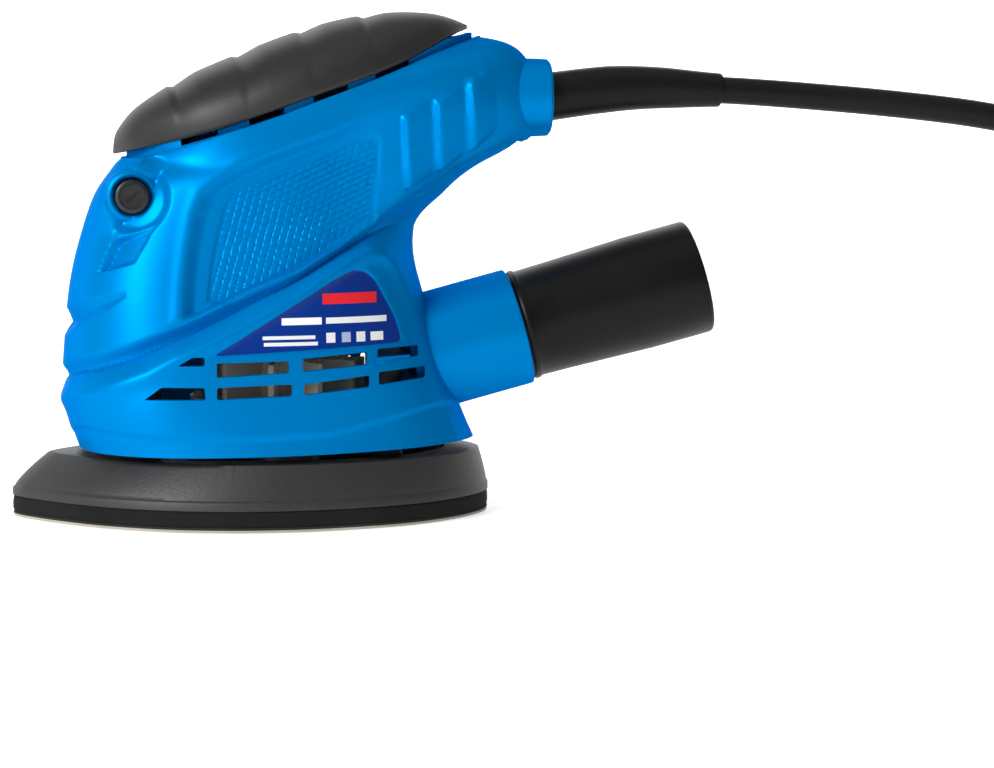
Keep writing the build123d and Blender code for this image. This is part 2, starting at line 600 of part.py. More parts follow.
def motor():
    """Can with its lower bearing cup, magnets, end cap, brushes, board and screws."""
    inner = CAN_R - CAN_WALL
    with BuildPart() as can:
        with BuildSketch(Plane.XY.offset(CAN_LOW)):
            Circle(CAN_R)
        extrude(amount=CAN_HIGH - CAN_LOW)
        with BuildSketch(Plane.XY.offset(CUP_LOW)):
            Circle(inner)
        extrude(amount=CAN_HIGH - CUP_LOW, mode=Mode.SUBTRACT)
        with BuildSketch(Plane.XY.offset(CUP_LOW)):
            Circle(BEARING_R + 1.5)
            Circle(BEARING_R, mode=Mode.SUBTRACT)
        extrude(amount=5.5)
        with BuildSketch(Plane.XY.offset(CAN_LOW)):
            Circle(SHAFT_R + 2)
            with PolarLocations(16, 2, start_angle=90):
                Circle(SCREW_R)
            with PolarLocations(16, 4, start_angle=0):
                SlotOverall(6, 3)
        extrude(amount=CAN_WALL, mode=Mode.SUBTRACT)
    keep(can, "motor_can")
    with BuildPart() as magnets:
        with BuildSketch(Plane.XY.offset(63)):
            Circle(inner - FIT)
            Circle(14.3, mode=Mode.SUBTRACT)
            Rectangle(12, 2 * CAN_R, mode=Mode.SUBTRACT)
        extrude(amount=28)
    keep(magnets, "motor_magnets")
    with BuildPart() as cap:
        with BuildSketch(Plane.XY.offset(CAN_HIGH)):
            Circle(CAN_R)
            Circle(8.5, mode=Mode.SUBTRACT)
        extrude(amount=1.5)
        with BuildSketch(Plane.XY.offset(CAN_HIGH + 1.5)):
            Circle(BEARING_R + 2)
        extrude(amount=BEARING_T)
        with BuildSketch(Plane.XY.offset(TOP_BEARING)):
            Circle(BEARING_R)
        extrude(amount=BEARING_T, mode=Mode.SUBTRACT)
        with BuildSketch(Plane.XY.offset(CAN_HIGH)):
            Circle(8.5)
        extrude(amount=1.5, mode=Mode.SUBTRACT)
    keep(cap, "motor_end_cap")
    # brush holders: two square tubes on the end cap's inner face
    low, high, near, far = 92.8, 98.2, 7.2, 18.0
    with BuildPart() as holders:
        for side in (-1, 1):
            with BuildSketch(Plane.YZ.offset(side * near)):
                with Locations((0, (low + high) / 2)):
                    Rectangle(8, high - low + 2.4)
                    Rectangle(5.4, high - low - 0.4, mode=Mode.SUBTRACT)
            extrude(amount=side * (far - near))
            with BuildSketch(Plane.XY.offset(high + 1.2)):
                with Locations((side * (near + far) / 2, 0)):
                    Rectangle(far - near, 8)
            extrude(amount=CAN_HIGH - high - 1.2)
    keep(holders, "brush_holders")
    with BuildPart() as brushes:
        for side in (-1, 1):
            with BuildSketch(Plane.YZ.offset(side * 6.8)):
                with Locations((0, (low + high) / 2)):
                    Rectangle(5.2, high - low - 0.6)
            extrude(amount=side * 5)
    keep(brushes, "carbon_brushes")
    with BuildPart() as springs:
        for side in (-1, 1):
            with BuildSketch(Plane.YZ.offset(side * 11.8)):
                with Locations((0, (low + high) / 2)):
                    Circle(1.9)
                    Circle(1.3, mode=Mode.SUBTRACT)
            extrude(amount=side * (far - 11.8))
    keep(springs, "brush_springs")
    with BuildPart() as board:
        with BuildSketch(Plane.XY.offset(CAN_HIGH + 1.5 + BEARING_T)):
            Rectangle(30, 24)
            Circle(SHAFT_R + 1.5, mode=Mode.SUBTRACT)
        extrude(amount=1.6)
        with BuildSketch(Plane.XY.offset(CAN_HIGH + BEARING_T + 3.1)):
            with Locations((10.5, 0)):
                Rectangle(5, 10)
        extrude(amount=3)
    keep(board, "rectifier_board")
    with BuildPart() as shroud:
        with BuildSketch(Plane.XY.offset(49.5)):
            Circle(31)
            Circle(11, mode=Mode.SUBTRACT)
            with PolarLocations(16, 2, start_angle=90):
                Circle(SCREW_R, mode=Mode.SUBTRACT)
        extrude(amount=2)
        with BuildSketch(Plane.XY.offset(51.5)):
            Circle(20)
            Circle(11, mode=Mode.SUBTRACT)
            with PolarLocations(16, 2, start_angle=90):
                Circle(SCREW_R, mode=Mode.SUBTRACT)
        extrude(amount=CAN_LOW - 51.5)
    keep(shroud, "fan_shroud")
    with BuildPart() as screws:
        with BuildSketch(Plane.XY.offset(49.5)):
            with PolarLocations(16, 2, start_angle=90):
                Circle(SCREW_R)
        extrude(amount=8)
        with BuildSketch(Plane.XY.offset(49.5)):
            with PolarLocations(16, 2, start_angle=90):
                Circle(2.4)
        extrude(amount=-1.6)
    keep(screws, "shroud_screws")


# ---------------------------------------------------------------- switch and wiring
def switch():
    """Push-through button bar and the switch that it works."""
    left_face, right_face = RING_FACE + 2.6, RING_FACE - 0.6
    with BuildPart() as bar:
        with BuildSketch(side_plane(-1, left_face)):
            with Locations(*seen_from(-1, [(BUTTON_X, BUTTON_Z)])):
                Circle(BUTTON_R)
        extrude(amount=-(left_face + right_face))
        fillet(bar.edges().filter_by(GeomType.CIRCLE), 0.5)
        with BuildSketch(side_plane(-1, left_face)):
            with Locations(*seen_from(-1, [(BUTTON_X, BUTTON_Z)])):
                Rectangle(4.4, 0.9)
        extrude(amount=-0.4, mode=Mode.SUBTRACT)
        with BuildSketch(Plane.XY.offset(86.5)):
            with Locations((BUTTON_X, -BUTTON_TRAVEL / 2)):
                Rectangle(3.2, 3)
        extrude(amount=5)
    keep(bar, "switch_button")
    with BuildPart() as body:
        with BuildSketch(Plane.XY.offset(79.0)):
            with Locations((BUTTON_X + 3, 0)):
                Rectangle(16, 18)
        extrude(amount=10.2)
        with BuildSketch(Plane.XY.offset(85.5)):
            with Locations((BUTTON_X, 0)):
                Rectangle(4.4, 11)
        extrude(amount=3.7, mode=Mode.SUBTRACT)
        with BuildSketch(Plane.XY.offset(79.0)):
            with Locations((BUTTON_X + 3, -5), (BUTTON_X + 3, 5)):
                Rectangle(5, 0.8)
        extrude(amount=-4)
    keep(body, "switch_body")


def wire(points, radius):
    """Round wire along straight runs joined by arcs."""
    with BuildPart() as strand:
        with BuildLine() as path:
            FilletPolyline(*points, radius=5)
        with BuildSketch(Plane(origin=points[0], z_dir=Vector(*points[1]) - Vector(*points[0]))):
            Circle(radius)
        sweep(path=path.wires()[0])
    return strand.part


def wiring():
    """Capacitor, leads from the cord to the switch, and the clamp that holds the cord."""
    with BuildPart() as capacitor:
        with BuildSketch(Plane.XY.offset(81)):
            with Locations((32, 0)):
                Rectangle(7, 15)
        extrude(amount=12)
        fillet(capacitor.edges().filter_by(Axis.Z), 0.8)
    keep(capacitor, "suppression_capacitor")
    with BuildPart() as leads:
        for y in (-2.2, 2.2):
            add(wire([(45.9, y, CORD_Z), (30, y, CORD_Z), (14, 3 * y, 118.5), (-21, 3 * y, 114),
                      (-34.5, 3 * y, 104), (-34.5, 3 * y, 89.2)], 1.1))
    keep(leads, "internal_leads")
    with BuildPart() as clamp:
        with BuildSketch(Plane.YZ.offset(CLAMP_X - 4)):
            with Locations((4.8, CORD_Z), (-4.8, CORD_Z)):
                Rectangle(5, 17)
            with Locations((0, CORD_Z)):
                Circle(CORD_D / 2, mode=Mode.SUBTRACT)
        extrude(amount=8)
        with BuildSketch(Plane.XZ.offset(-REACH)):
            with Locations(*[(CLAMP_X, z) for z in CLAMP_Z]):
                Circle(SCREW_R)
        extrude(amount=2 * REACH, mode=Mode.SUBTRACT)
    keep(clamp, "cord_clamp")
    with BuildPart() as screws:
        with BuildSketch(Plane.XZ.offset(9)):
            with Locations(*[(CLAMP_X, z) for z in CLAMP_Z]):
                Circle(SCREW_R)
        extrude(amount=-16.3)
        with BuildSketch(Plane.XZ.offset(-7.3)):
            with Locations(*[(CLAMP_X, z) for z in CLAMP_Z]):
                Circle(2.6)
        extrude(amount=-1.8)
    keep(screws, "clamp_screws")


# ---------------------------------------------------------------- dust outlet
def dust_outlet():
    """Spigot held between the halves, and the tapered hose adapter pushed into it."""
    with BuildPart() as spigot:
        with BuildSketch(along_spigot(-SPIGOT_LEN)):
            Circle(SPIGOT_R)
            Circle(SPIGOT_BORE, mode=Mode.SUBTRACT)
        extrude(amount=SPIGOT_LEN)
        chamfer(spigot.edges().filter_by(GeomType.CIRCLE).sort_by(Axis.X)[-1], 0.6)
    keep(spigot, "dust_spigot")
    plug_r = SPIGOT_BORE - FIT
    cone = ADAPTER_LEN - ADAPTER_STRAIGHT
    with BuildPart() as adapter:
        with BuildSketch(along_spigot(-ADAPTER_PLUG)):
            Circle(plug_r)
        extrude(amount=ADAPTER_PLUG + 0.4)
        with BuildSketch(along_spigot(0.4)):
            Circle(ADAPTER_ROOT_R)
        with BuildSketch(along_spigot(cone)):
            Circle(ADAPTER_R)
        loft()
        with BuildSketch(along_spigot(cone)):
            Circle(ADAPTER_R)
        extrude(amount=ADAPTER_STRAIGHT)
        with BuildSketch(along_spigot(-ADAPTER_PLUG)):
            Circle(ADAPTER_BORE)
        extrude(amount=ADAPTER_PLUG + ADAPTER_LEN, mode=Mode.SUBTRACT)
        with BuildSketch(along_spigot(ADAPTER_LEN - MOUTH_LEN)):
            Circle(MOUTH_R)
        extrude(amount=MOUTH_LEN, mode=Mode.SUBTRACT)
    keep(adapter, "hose_adapter")


# ---------------------------------------------------------------- cord
BOOT = [(75.0, 121.5, 7.3), (83.0, 122.3, 7.1), (98.0, 124.1, 6.9), (115.0, 124.5, 6.1),
        (132.0, 123.8, 5.05)]     # x, z and radius of the strain relief
CORD_ROUTE = [(46, 0, 121.5), (72, 0, 121.6), (98, 0, 124.2), (130, 0, 124.0),
              (160, -3.5, 121.9), (190, -10.5, 119.0), (220, -18.5, 114.6), (248, -25.5, 103.0),
              (270, -30, 83.0), (285, -34, 57.0), (297, -38.5, 32.0), (310, -42.5, 13.8),
              (326, -47.8, 4.9), (345, -50.2, 4.0)]


def route_radii(points):
    """Arc radius for each inner corner: 0.45 of the shorter run over tan of half the turn."""
    radii = []
    for before, corner, after in zip(points, points[1:], points[2:]):
        into, out = Vector(*corner) - Vector(*before), Vector(*after) - Vector(*corner)
        turn = radians(into.get_angle(out))
        radii.append(0.45 * min(into.length, out.length) / tan(turn / 2))
    return radii


def cord_tube(points, name):
    """Round cord along a route, one node."""
    radii = route_radii(points)
    print(name, "radii mm:", [round(r) for r in radii])
    with BuildPart() as tube:
        with BuildLine() as path:
            FilletPolyline(*points, radius=radii)
        with BuildSketch(Plane(origin=points[0], z_dir=Vector(*points[1]) - Vector(*points[0]))):
            Circle(CORD_D / 2)
        sweep(path=path.wires()[0])
    length = path.wires()[0].length
    print(name, "length mm:", round(length, 1), "volume over section x length:",
          round(tube.part.volume / (pi * CORD_D ** 2 / 4 * length), 4))
    keep(tube, name)


def strain_relief():
    """Tapered boot locked in the handle's collar by a flange."""
    with BuildPart() as boot:
        for x, z, r in BOOT:
            with BuildSketch(aft_plane(x, z)):
                Circle(r)
        loft()
        with BuildSketch(aft_plane(FLANGE_X0, CORD_Z)):
            Circle(FLANGE_R)
        extrude(amount=FLANGE_X1 - FLANGE_X0)
    with BuildPart() as bore:
        for x, z, r in BOOT:
            with BuildSketch(aft_plane(x, z)):
                Circle(CORD_D / 2 + 0.5)
        loft()
        with BuildSketch(aft_plane(FLANGE_X0, CORD_Z)):
            Circle(CORD_D / 2 + 0.5)
        extrude(amount=FLANGE_X1 - FLANGE_X0)
    with BuildPart() as guard:
        add(boot.part)
        add(bore.part, mode=Mode.SUBTRACT)
    keep(guard, "cord_guard")


def cord_coil():
    """The put-away length as one ring that its turns fill."""
    half = COIL_WIDE * CORD_D / 2
    with BuildPart() as coil:
        with BuildSketch(Plane.XY):
            with Locations((COIL_X, 0)):
                Circle(COIL_MEAN + half)
                Circle(COIL_MEAN - half, mode=Mode.SUBTRACT)
        extrude(amount=COIL_HIGH * CORD_D)
        fillet(coil.edges(), 2.5)
    keep(coil, "cord_coil")


PLUG_X, PLUG_Y = COIL_X + 44.8, 21.0
PLUG_BASE = COIL_HIGH * CORD_D
PLUG_BACK, PLUG_FACE = 9.0, 22.0     # heights above the base: cord axis and face
PLUG_W, PLUG_L = 48.0, 46.0


def plug():
    """Three-pin fused plug lying on its back on the coil, pins up, cord end towards -Y."""
    face = PLUG_BASE + PLUG_FACE
    with BuildPart() as body:
        with BuildSketch(Plane.XY.offset(PLUG_BASE)):
            with Locations((PLUG_X, PLUG_Y)):
                RectangleRounded(PLUG_W - 8, PLUG_L - 8, 8)
        with BuildSketch(Plane.XY.offset(face - 6)):
            with Locations((PLUG_X, PLUG_Y)):
                RectangleRounded(PLUG_W, PLUG_L, 6)
        loft()
        with BuildSketch(Plane.XY.offset(face - 6)):
            with Locations((PLUG_X, PLUG_Y)):
                RectangleRounded(PLUG_W, PLUG_L, 6)
        extrude(amount=6)
        with BuildSketch(Plane.XZ.offset(-PLUG_Y + PLUG_L / 2 - 8)):
            with Locations((PLUG_X, PLUG_BASE + PLUG_BACK)):
                Circle(6.5)
        extrude(amount=16)
        with BuildSketch(Plane.XY.offset(face)):
            with Locations(*PIN_SPOTS[:1]):
                Rectangle(4.0, 8.0)
            with Locations(*PIN_SPOTS[1:]):
                Rectangle(6.3, 4.0)
            with Locations(FUSE_SPOT):
                RectangleRounded(9, 26, 1.5)
        extrude(amount=-4, mode=Mode.SUBTRACT)
        with BuildSketch(Plane.XZ.offset(-PLUG_Y + PLUG_L / 2 + 8)):
            with Locations((PLUG_X, PLUG_BASE + PLUG_BACK)):
                Circle(CORD_D / 2)
        extrude(amount=-10, mode=Mode.SUBTRACT)
    keep(body, "plug_body")
    with BuildPart() as pins:
        with BuildSketch(Plane.XY.offset(face - 4)):
            with Locations(*PIN_SPOTS[:1]):
                Rectangle(4.0, 8.0)
        extrude(amount=4 + 22.7)
        with BuildSketch(Plane.XY.offset(face - 4)):
            with Locations(*PIN_SPOTS[1:]):
                Rectangle(6.3, 4.0)
        extrude(amount=4 + 17.7)
        chamfer(pins.faces().group_by(Axis.Z)[-1].edges(), 0.8)
    keep(pins, "plug_pins")
    with BuildPart() as carrier:
        with BuildSketch(Plane.XY.offset(face - 4)):
            with Locations(FUSE_SPOT):
                RectangleRounded(8.6, 25.6, 1.4)
        extrude(amount=4.4)
        with BuildSketch(Plane.XY.offset(face + 0.4)):
            with Locations(FUSE_SPOT):
                Rectangle(5, 1.4)
        extrude(amount=-1.5, mode=Mode.SUBTRACT)
    keep(carrier, "plug_fuse_carrier")


# Earth pin first, then line and neutral, 22.2 mm apart and 22.2 mm behind it.
PIN_SPOTS = [(PLUG_X, PLUG_Y + 13.1), (PLUG_X - 11.1, PLUG_Y - 9.1), (PLUG_X + 11.1, PLUG_Y - 9.1)]
FUSE_SPOT = (PLUG_X, PLUG_Y - 7.5)
TAIL_ROUTE = [(COIL_X - 8.7, -49.2, 12.0), (COIL_X + 5.1, -51.6, 12.2),
              (COIL_X + 18.9, -49.2, 13.6), (COIL_X + 31.0, -42.2, 16.4),
              (COIL_X + 40.0, -31.5, 19.9), (COIL_X + 44.8, -18.3, 23.2),
              (COIL_X + 44.8, -7.0, 25.0)]


body_half(-1, "left_housing")
body_half(1, "right_housing")
rating_label()
grip_cover()
housing_screws()
pad_layer("sanding_sheet", 0, SHEET_TOP, 0.3)
pad_layer("hook_sheet", SHEET_TOP, HOOK_TOP)
pad_layer("foam_pad", HOOK_TOP, FOAM_TOP)
platen()
ring_bearing("eccentric_bearing", ORBIT, BEARING_LOW)
ring_bearing("lower_bearing", 0, CUP_LOW)
ring_bearing("upper_bearing", 0, TOP_BEARING)
support_posts()
platen_screws()
rotor_shaft()
eccentric_hub()
counterweight()
eccentric_screw()
fan()
armature()
motor()
switch()
wiring()
dust_outlet()
strain_relief()
cord_tube(CORD_ROUTE, "cord_lead")
cord_coil()
cord_tube(TAIL_ROUTE, "cord_tail")
plug()
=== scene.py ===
"""Looks of the detail sander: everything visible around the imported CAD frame.

Lengths in the tables and helpers are millimetres; MM turns them into Blender's metres.
"""
import json
from math import cos, pi, radians, sin

import bmesh
import bpy
import numpy as np
from mathutils import Matrix, Vector


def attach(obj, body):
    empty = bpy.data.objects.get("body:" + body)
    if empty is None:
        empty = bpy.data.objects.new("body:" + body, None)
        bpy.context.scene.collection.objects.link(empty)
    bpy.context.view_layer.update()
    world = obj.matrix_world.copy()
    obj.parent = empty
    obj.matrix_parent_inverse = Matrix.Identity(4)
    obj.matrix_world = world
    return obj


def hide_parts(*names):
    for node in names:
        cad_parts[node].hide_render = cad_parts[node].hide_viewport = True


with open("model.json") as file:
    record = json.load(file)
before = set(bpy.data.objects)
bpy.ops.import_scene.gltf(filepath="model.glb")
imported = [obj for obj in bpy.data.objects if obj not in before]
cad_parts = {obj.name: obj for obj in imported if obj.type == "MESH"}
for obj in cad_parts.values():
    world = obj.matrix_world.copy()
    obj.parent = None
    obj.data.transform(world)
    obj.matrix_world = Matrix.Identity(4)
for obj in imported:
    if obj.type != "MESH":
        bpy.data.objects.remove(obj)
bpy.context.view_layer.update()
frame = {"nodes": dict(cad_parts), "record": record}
MM = 0.001
NEAR, FAR = -1, 1                # left half (towards the camera) and right half


# ---------------------------------------------------------------- small helpers
def link(obj):
    bpy.context.scene.collection.objects.link(obj)
    return obj


def mesh_object(name, points, faces, smooth=True):
    """Mesh object from points in millimetres."""
    mesh = bpy.data.meshes.new(name)
    mesh.from_pydata([tuple(p) for p in np.asarray(points, float) * MM], [], faces)
    mesh.update()
    if smooth:
        mesh.shade_smooth()
    return link(bpy.data.objects.new(name, mesh))


def apply_modifiers(obj):
    graph = bpy.context.evaluated_depsgraph_get()
    mesh = bpy.data.meshes.new_from_object(obj.evaluated_get(graph))
    obj.modifiers.clear()
    obj.data = mesh
    return obj


def join(name, objects):
    """One object from the meshes of several, which are then removed."""
    work = bmesh.new()
    for obj in objects:
        work.from_mesh(obj.data)
    mesh = bpy.data.meshes.new(name)
    work.to_mesh(mesh)
    work.free()
    for obj in objects:
        bpy.data.objects.remove(obj)
    return link(bpy.data.objects.new(name, mesh))


def put(obj, body, material, replaces=(), smooth_angle=None):
    """Give a piece its body, material, slot and the CAD nodes that it stands for."""
    obj.data.materials.clear()
    obj.data.materials.append(material)
    if smooth_angle is not None:
        obj.data.shade_smooth()
        obj.data.set_sharp_from_angle(angle=radians(smooth_angle))
    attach(obj, body)
    if replaces:
        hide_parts(*replaces)
    return obj


def smoothstep(edge0, edge1, x):
    t = np.clip((x - edge0) / (edge1 - edge0), 0, 1)
    return t * t * (3 - 2 * t)


def natural_spline(knots, values, at, slopes=None):
    """Cubic spline through values (n, k) at knots; natural ends, or clamped to slopes."""
    knots, values = np.asarray(knots, float), np.asarray(values, float)
    flat = values.ndim == 1
    values = values[:, None] if flat else values
    n, h = len(knots), np.diff(knots)
    system, right = np.zeros((n, n)), np.zeros_like(values)
    for i in range(1, n - 1):
        system[i, i - 1:i + 2] = h[i - 1], 2 * (h[i - 1] + h[i]), h[i]
        right[i] = 6 * ((values[i + 1] - values[i]) / h[i] - (values[i] - values[i - 1]) / h[i - 1])
    system[0, 0] = system[-1, -1] = 1
    if slopes is not None:
        system[0, :2] = 2 * h[0], h[0]
        right[0] = 6 * ((values[1] - values[0]) / h[0] - slopes[0])
        system[-1, -2:] = h[-1], 2 * h[-1]
        right[-1] = 6 * (slopes[1] - (values[-1] - values[-2]) / h[-1])
    bend = np.linalg.solve(system, right)
    at = np.atleast_1d(np.asarray(at, float))
    i = np.clip(np.searchsorted(knots, at) - 1, 0, n - 2)
    a, b, w = (knots[i + 1] - at), (at - knots[i]), h[i]
    a, b, w = a[:, None], b[:, None], w[:, None]
    out = (bend[i] * a ** 3 + bend[i + 1] * b ** 3) / (6 * w) \
        + (values[i] / w - bend[i] * w / 6) * a + (values[i + 1] / w - bend[i + 1] * w / 6) * b
    return out[:, 0] if flat else out


def crowded(count, span=None, extra=0.9):
    """count shares from 0 to 1, closer together inside the span."""
    share = np.linspace(0, 1, 2000)
    if span is None:
        return np.linspace(0, 1, count)
    weight = 1 + extra * smoothstep(span[0] - 0.05, span[0], share) \
        * smoothstep(span[1] + 0.05, span[1], share)
    total = np.concatenate([[0], np.cumsum((weight[1:] + weight[:-1]) / 2)])
    return np.interp(np.linspace(0, total[-1], count), total, share)


def resample(points, count, span=None):
    """Points spaced along a polyline, closer together inside the span."""
    points = np.asarray(points, float)
    along = np.concatenate([[0], np.cumsum(np.linalg.norm(np.diff(points, axis=0), axis=1))])
    at = crowded(count, span) * along[-1]
    return np.stack([np.interp(at, along, points[:, k]) for k in range(points.shape[1])], 1)


def distance_to(line, x, z):
    """Signed distance from a polyline (positive above it), and how far along it, 0 to 1."""
    line = np.asarray(line, float)
    best, sign, where = np.full(x.shape, 1e9), np.ones(x.shape), np.zeros(x.shape)
    lengths = np.linalg.norm(np.diff(line, axis=0), axis=1)
    start = np.concatenate([[0], np.cumsum(lengths)])
    for i, (a, b) in enumerate(zip(line, line[1:])):
        d = b - a
        t = np.clip(((x - a[0]) * d[0] + (z - a[1]) * d[1]) / (d @ d), 0, 1)
        gap = np.hypot(x - a[0] - t * d[0], z - a[1] - t * d[1])
        side = d[0] * (z - a[1]) - d[1] * (x - a[0])
        near = gap < best
        best = np.where(near, gap, best)
        sign = np.where(near, np.where(side >= 0, 1.0, -1.0), sign)
        where = np.where(near, (start[i] + t * lengths[i]) / start[-1], where)
    return best * sign, where


def inside(outline, x, z):
    """True where a point lies inside a closed outline."""
    hit = np.zeros(x.shape, bool)
    for (x0, z0), (x1, z1) in zip(outline, outline[1:] + outline[:1]):
        if z0 == z1:
            continue
        cross = (z0 > z) != (z1 > z)
        hit ^= cross & (x < x0 + (z - z0) * (x1 - x0) / (z1 - z0))
    return hit


def into(outline, x, z):
    """Distance inside a closed outline, negative outside it."""
    gap = np.abs(distance_to(outline + outline[:1], x, z)[0])
    return np.where(inside(outline, x, z), gap, -gap)


# ---------------------------------------------------------------- stage
def stage():
    scene = bpy.context.scene
    scene.view_settings.view_transform = "Standard"
    world = bpy.data.worlds.new("studio")
    world.use_nodes = True
    world.node_tree.nodes["Background"].inputs["Color"].default_value = (1, 1, 1, 1)
    world.node_tree.nodes["Background"].inputs["Strength"].default_value = 0.24
    scene.world = world
    camera = bpy.data.objects.new("camera", bpy.data.cameras.new("camera"))
    camera.data.sensor_width = 36
    camera.data.lens = 112.53
    camera.data.clip_end = 20
    camera.location = Vector((-52.08, -913.04, 127.27)) * MM
    camera.rotation_euler = (radians(90 - 5.614), 0, radians(-7.306))
    link(camera)
    scene.camera = camera
    paper, _, surface = shader("floor_paint")
    surface.inputs["Base Color"].default_value = (0.9, 0.9, 0.9, 1)
    surface.inputs["Roughness"].default_value = 0.55
    surface.inputs["Emission Color"].default_value = (1, 1, 1, 1)
    surface.inputs["Emission Strength"].default_value = 0.48
    floor = mesh_object("floor", [(-6000, -3000, -0.2), (6000, -3000, -0.2),
                                  (6000, 2600, -0.2), (-6000, 2600, -0.2)], [(0, 1, 2, 3)])
    floor.data.materials.append(paper)
    wall, _, surface = shader("backdrop_paint")
    surface.inputs["Base Color"].default_value = (0.9, 0.9, 0.9, 1)
    surface.inputs["Emission Color"].default_value = (1, 1, 1, 1)
    surface.inputs["Emission Strength"].default_value = 0.72
    backdrop = mesh_object("backdrop", [(-6000, 2600, -0.2), (6000, 2600, -0.2),
                                        (6000, 2600, 2600), (-6000, 2600, 2600)],
                           [(0, 1, 2, 3)])
    backdrop.data.materials.append(wall)
    for name, towards, power, soft in (("key", (0.82, 0.66, -0.52), 2.5, 24),
                                       ("top", (-0.15, 0.10, -1.0), 0.35, 60)):
        lamp = bpy.data.objects.new(name, bpy.data.lights.new(name, "SUN"))
        lamp.data.energy = power
        lamp.data.angle = radians(soft)
        lamp.rotation_euler = Vector(towards).to_track_quat("-Z", "Y").to_euler()
        link(lamp)
    strip = bpy.data.objects.new("strip", bpy.data.lights.new("strip", "AREA"))
    strip.data.shape, strip.data.size, strip.data.size_y = "RECTANGLE", 0.25, 0.9
    strip.data.energy = 2.2
    strip.location = (-0.55, -0.75, 0.30)
    aim = Vector((0, 0, 0.07)) - strip.location
    strip.rotation_euler = aim.to_track_quat("-Z", "Y").to_euler()
    link(strip)


# ---------------------------------------------------------------- materials
def shader(name):
    material = bpy.data.materials.new(name)
    material.use_nodes = True
    return material, material.node_tree, material.node_tree.nodes["Principled BSDF"]


def moulded(name, dark, light, roughness, grain=0.25, grain_size=0.5, specular=0.5,
            metallic=0.0, edge=(1, 1, 1), ior=1.5):
    """Moulded or cast surface: mottled colour, fine grain in bump and roughness."""
    material, tree, surface = shader(name)
    nodes, links = tree.nodes, tree.links
    place = nodes.new("ShaderNodeTexCoord")
    mottle = nodes.new("ShaderNodeTexNoise")
    mottle.inputs["Scale"].default_value = 60
    mottle.inputs["Detail"].default_value = 5
    links.new(place.outputs["Object"], mottle.inputs["Vector"])
    ramp = nodes.new("ShaderNodeMix")
    ramp.data_type = "RGBA"
    ramp.inputs["A"].default_value = (*dark, 1)
    ramp.inputs["B"].default_value = (*light, 1)
    links.new(mottle.outputs["Fac"], ramp.inputs["Factor"])
    links.new(ramp.outputs["Result"], surface.inputs["Base Color"])
    fine = nodes.new("ShaderNodeTexNoise")
    fine.inputs["Scale"].default_value = 1000 / grain_size
    fine.inputs["Detail"].default_value = 3
    links.new(place.outputs["Object"], fine.inputs["Vector"])
    rough = nodes.new("ShaderNodeMapRange")
    rough.inputs["To Min"].default_value = roughness - 0.06
    rough.inputs["To Max"].default_value = roughness + 0.08
    links.new(fine.outputs["Fac"], rough.inputs["Value"])
    links.new(rough.outputs["Result"], surface.inputs["Roughness"])
    bump = nodes.new("ShaderNodeBump")
    bump.inputs["Strength"].default_value = grain
    bump.inputs["Distance"].default_value = 0.00008
    links.new(fine.outputs["Fac"], bump.inputs["Height"])
    links.new(bump.outputs["Normal"], surface.inputs["Normal"])
    surface.inputs["Specular IOR Level"].default_value = specular
    surface.inputs["Metallic"].default_value = metallic
    surface.inputs["IOR"].default_value = ior
    surface.inputs["Specular Tint"].default_value = (*edge, 1)
    return material


BLUE = moulded("blue_abs", (0.0, 0.185, 0.51), (0.0, 0.205, 0.555), 0.40, grain=0.3,
               grain_size=0.45, specular=0.0, metallic=0.42, edge=(0.0, 0.32, 0.75), ior=1.2)
stage()


# ---------------------------------------------------------------- body skin
# Fore and aft points (x, z) of each section of the skin, and its half-widths at STATIONS.
STATIONS = (0.05, 0.18, 0.42, 0.70, 0.92)
SKIN = [
    ((-59.0, 20.6), (57.5, 21.9), (25.0, 39.0, 43.8, 37.5, 21.0)),
    ((-62.5, 32.0), (53.9, 30.3), (26.0, 39.5, 43.0, 37.5, 22.0)),
    ((-62.7, 48.0), (47.8, 48.0), (25.0, 37.5, 41.0, 36.5, 22.5)),
    ((-61.5, 62.0), (43.5, 62.0), (23.5, 35.5, 38.5, 34.5, 20.5)),
    ((-59.5, 74.0), (41.1, 74.0), (22.0, 33.5, 36.5, 32.5, 18.5)),
    ((-56.6, 84.5), (42.5, 84.0), (21.0, 32.0, 35.0, 30.5, 17.0)),
    ((-53.0, 94.0), (50.0, 93.5), (20.0, 31.0, 33.5, 28.0, 15.5)),
    ((-49.0, 100.0), (62.0, 100.5), (19.0, 30.5, 32.5, 25.5, 14.0)),
    ((-47.0, 103.0), (75.4, 109.0), (18.0, 30.0, 31.5, 23.0, 13.0)),
    ((-46.3, 104.0), (77.0, 122.0), (17.0, 29.5, 31.0, 23.5, 13.5)),
    ((-45.8, 104.7), (71.0, 133.0), (16.5, 29.0, 30.5, 24.5, 12.5)),
    ((-45.5, 105.0), (60.0, 136.5), (16.0, 28.5, 30.0, 25.0, 11.5)),
]
ROWS, COLUMNS = 236, 320         # of the fine grid over the skin of one half
SHELL = 2.2                      # wall thickness
MIDDLE_Z = 70.0                  # of the body
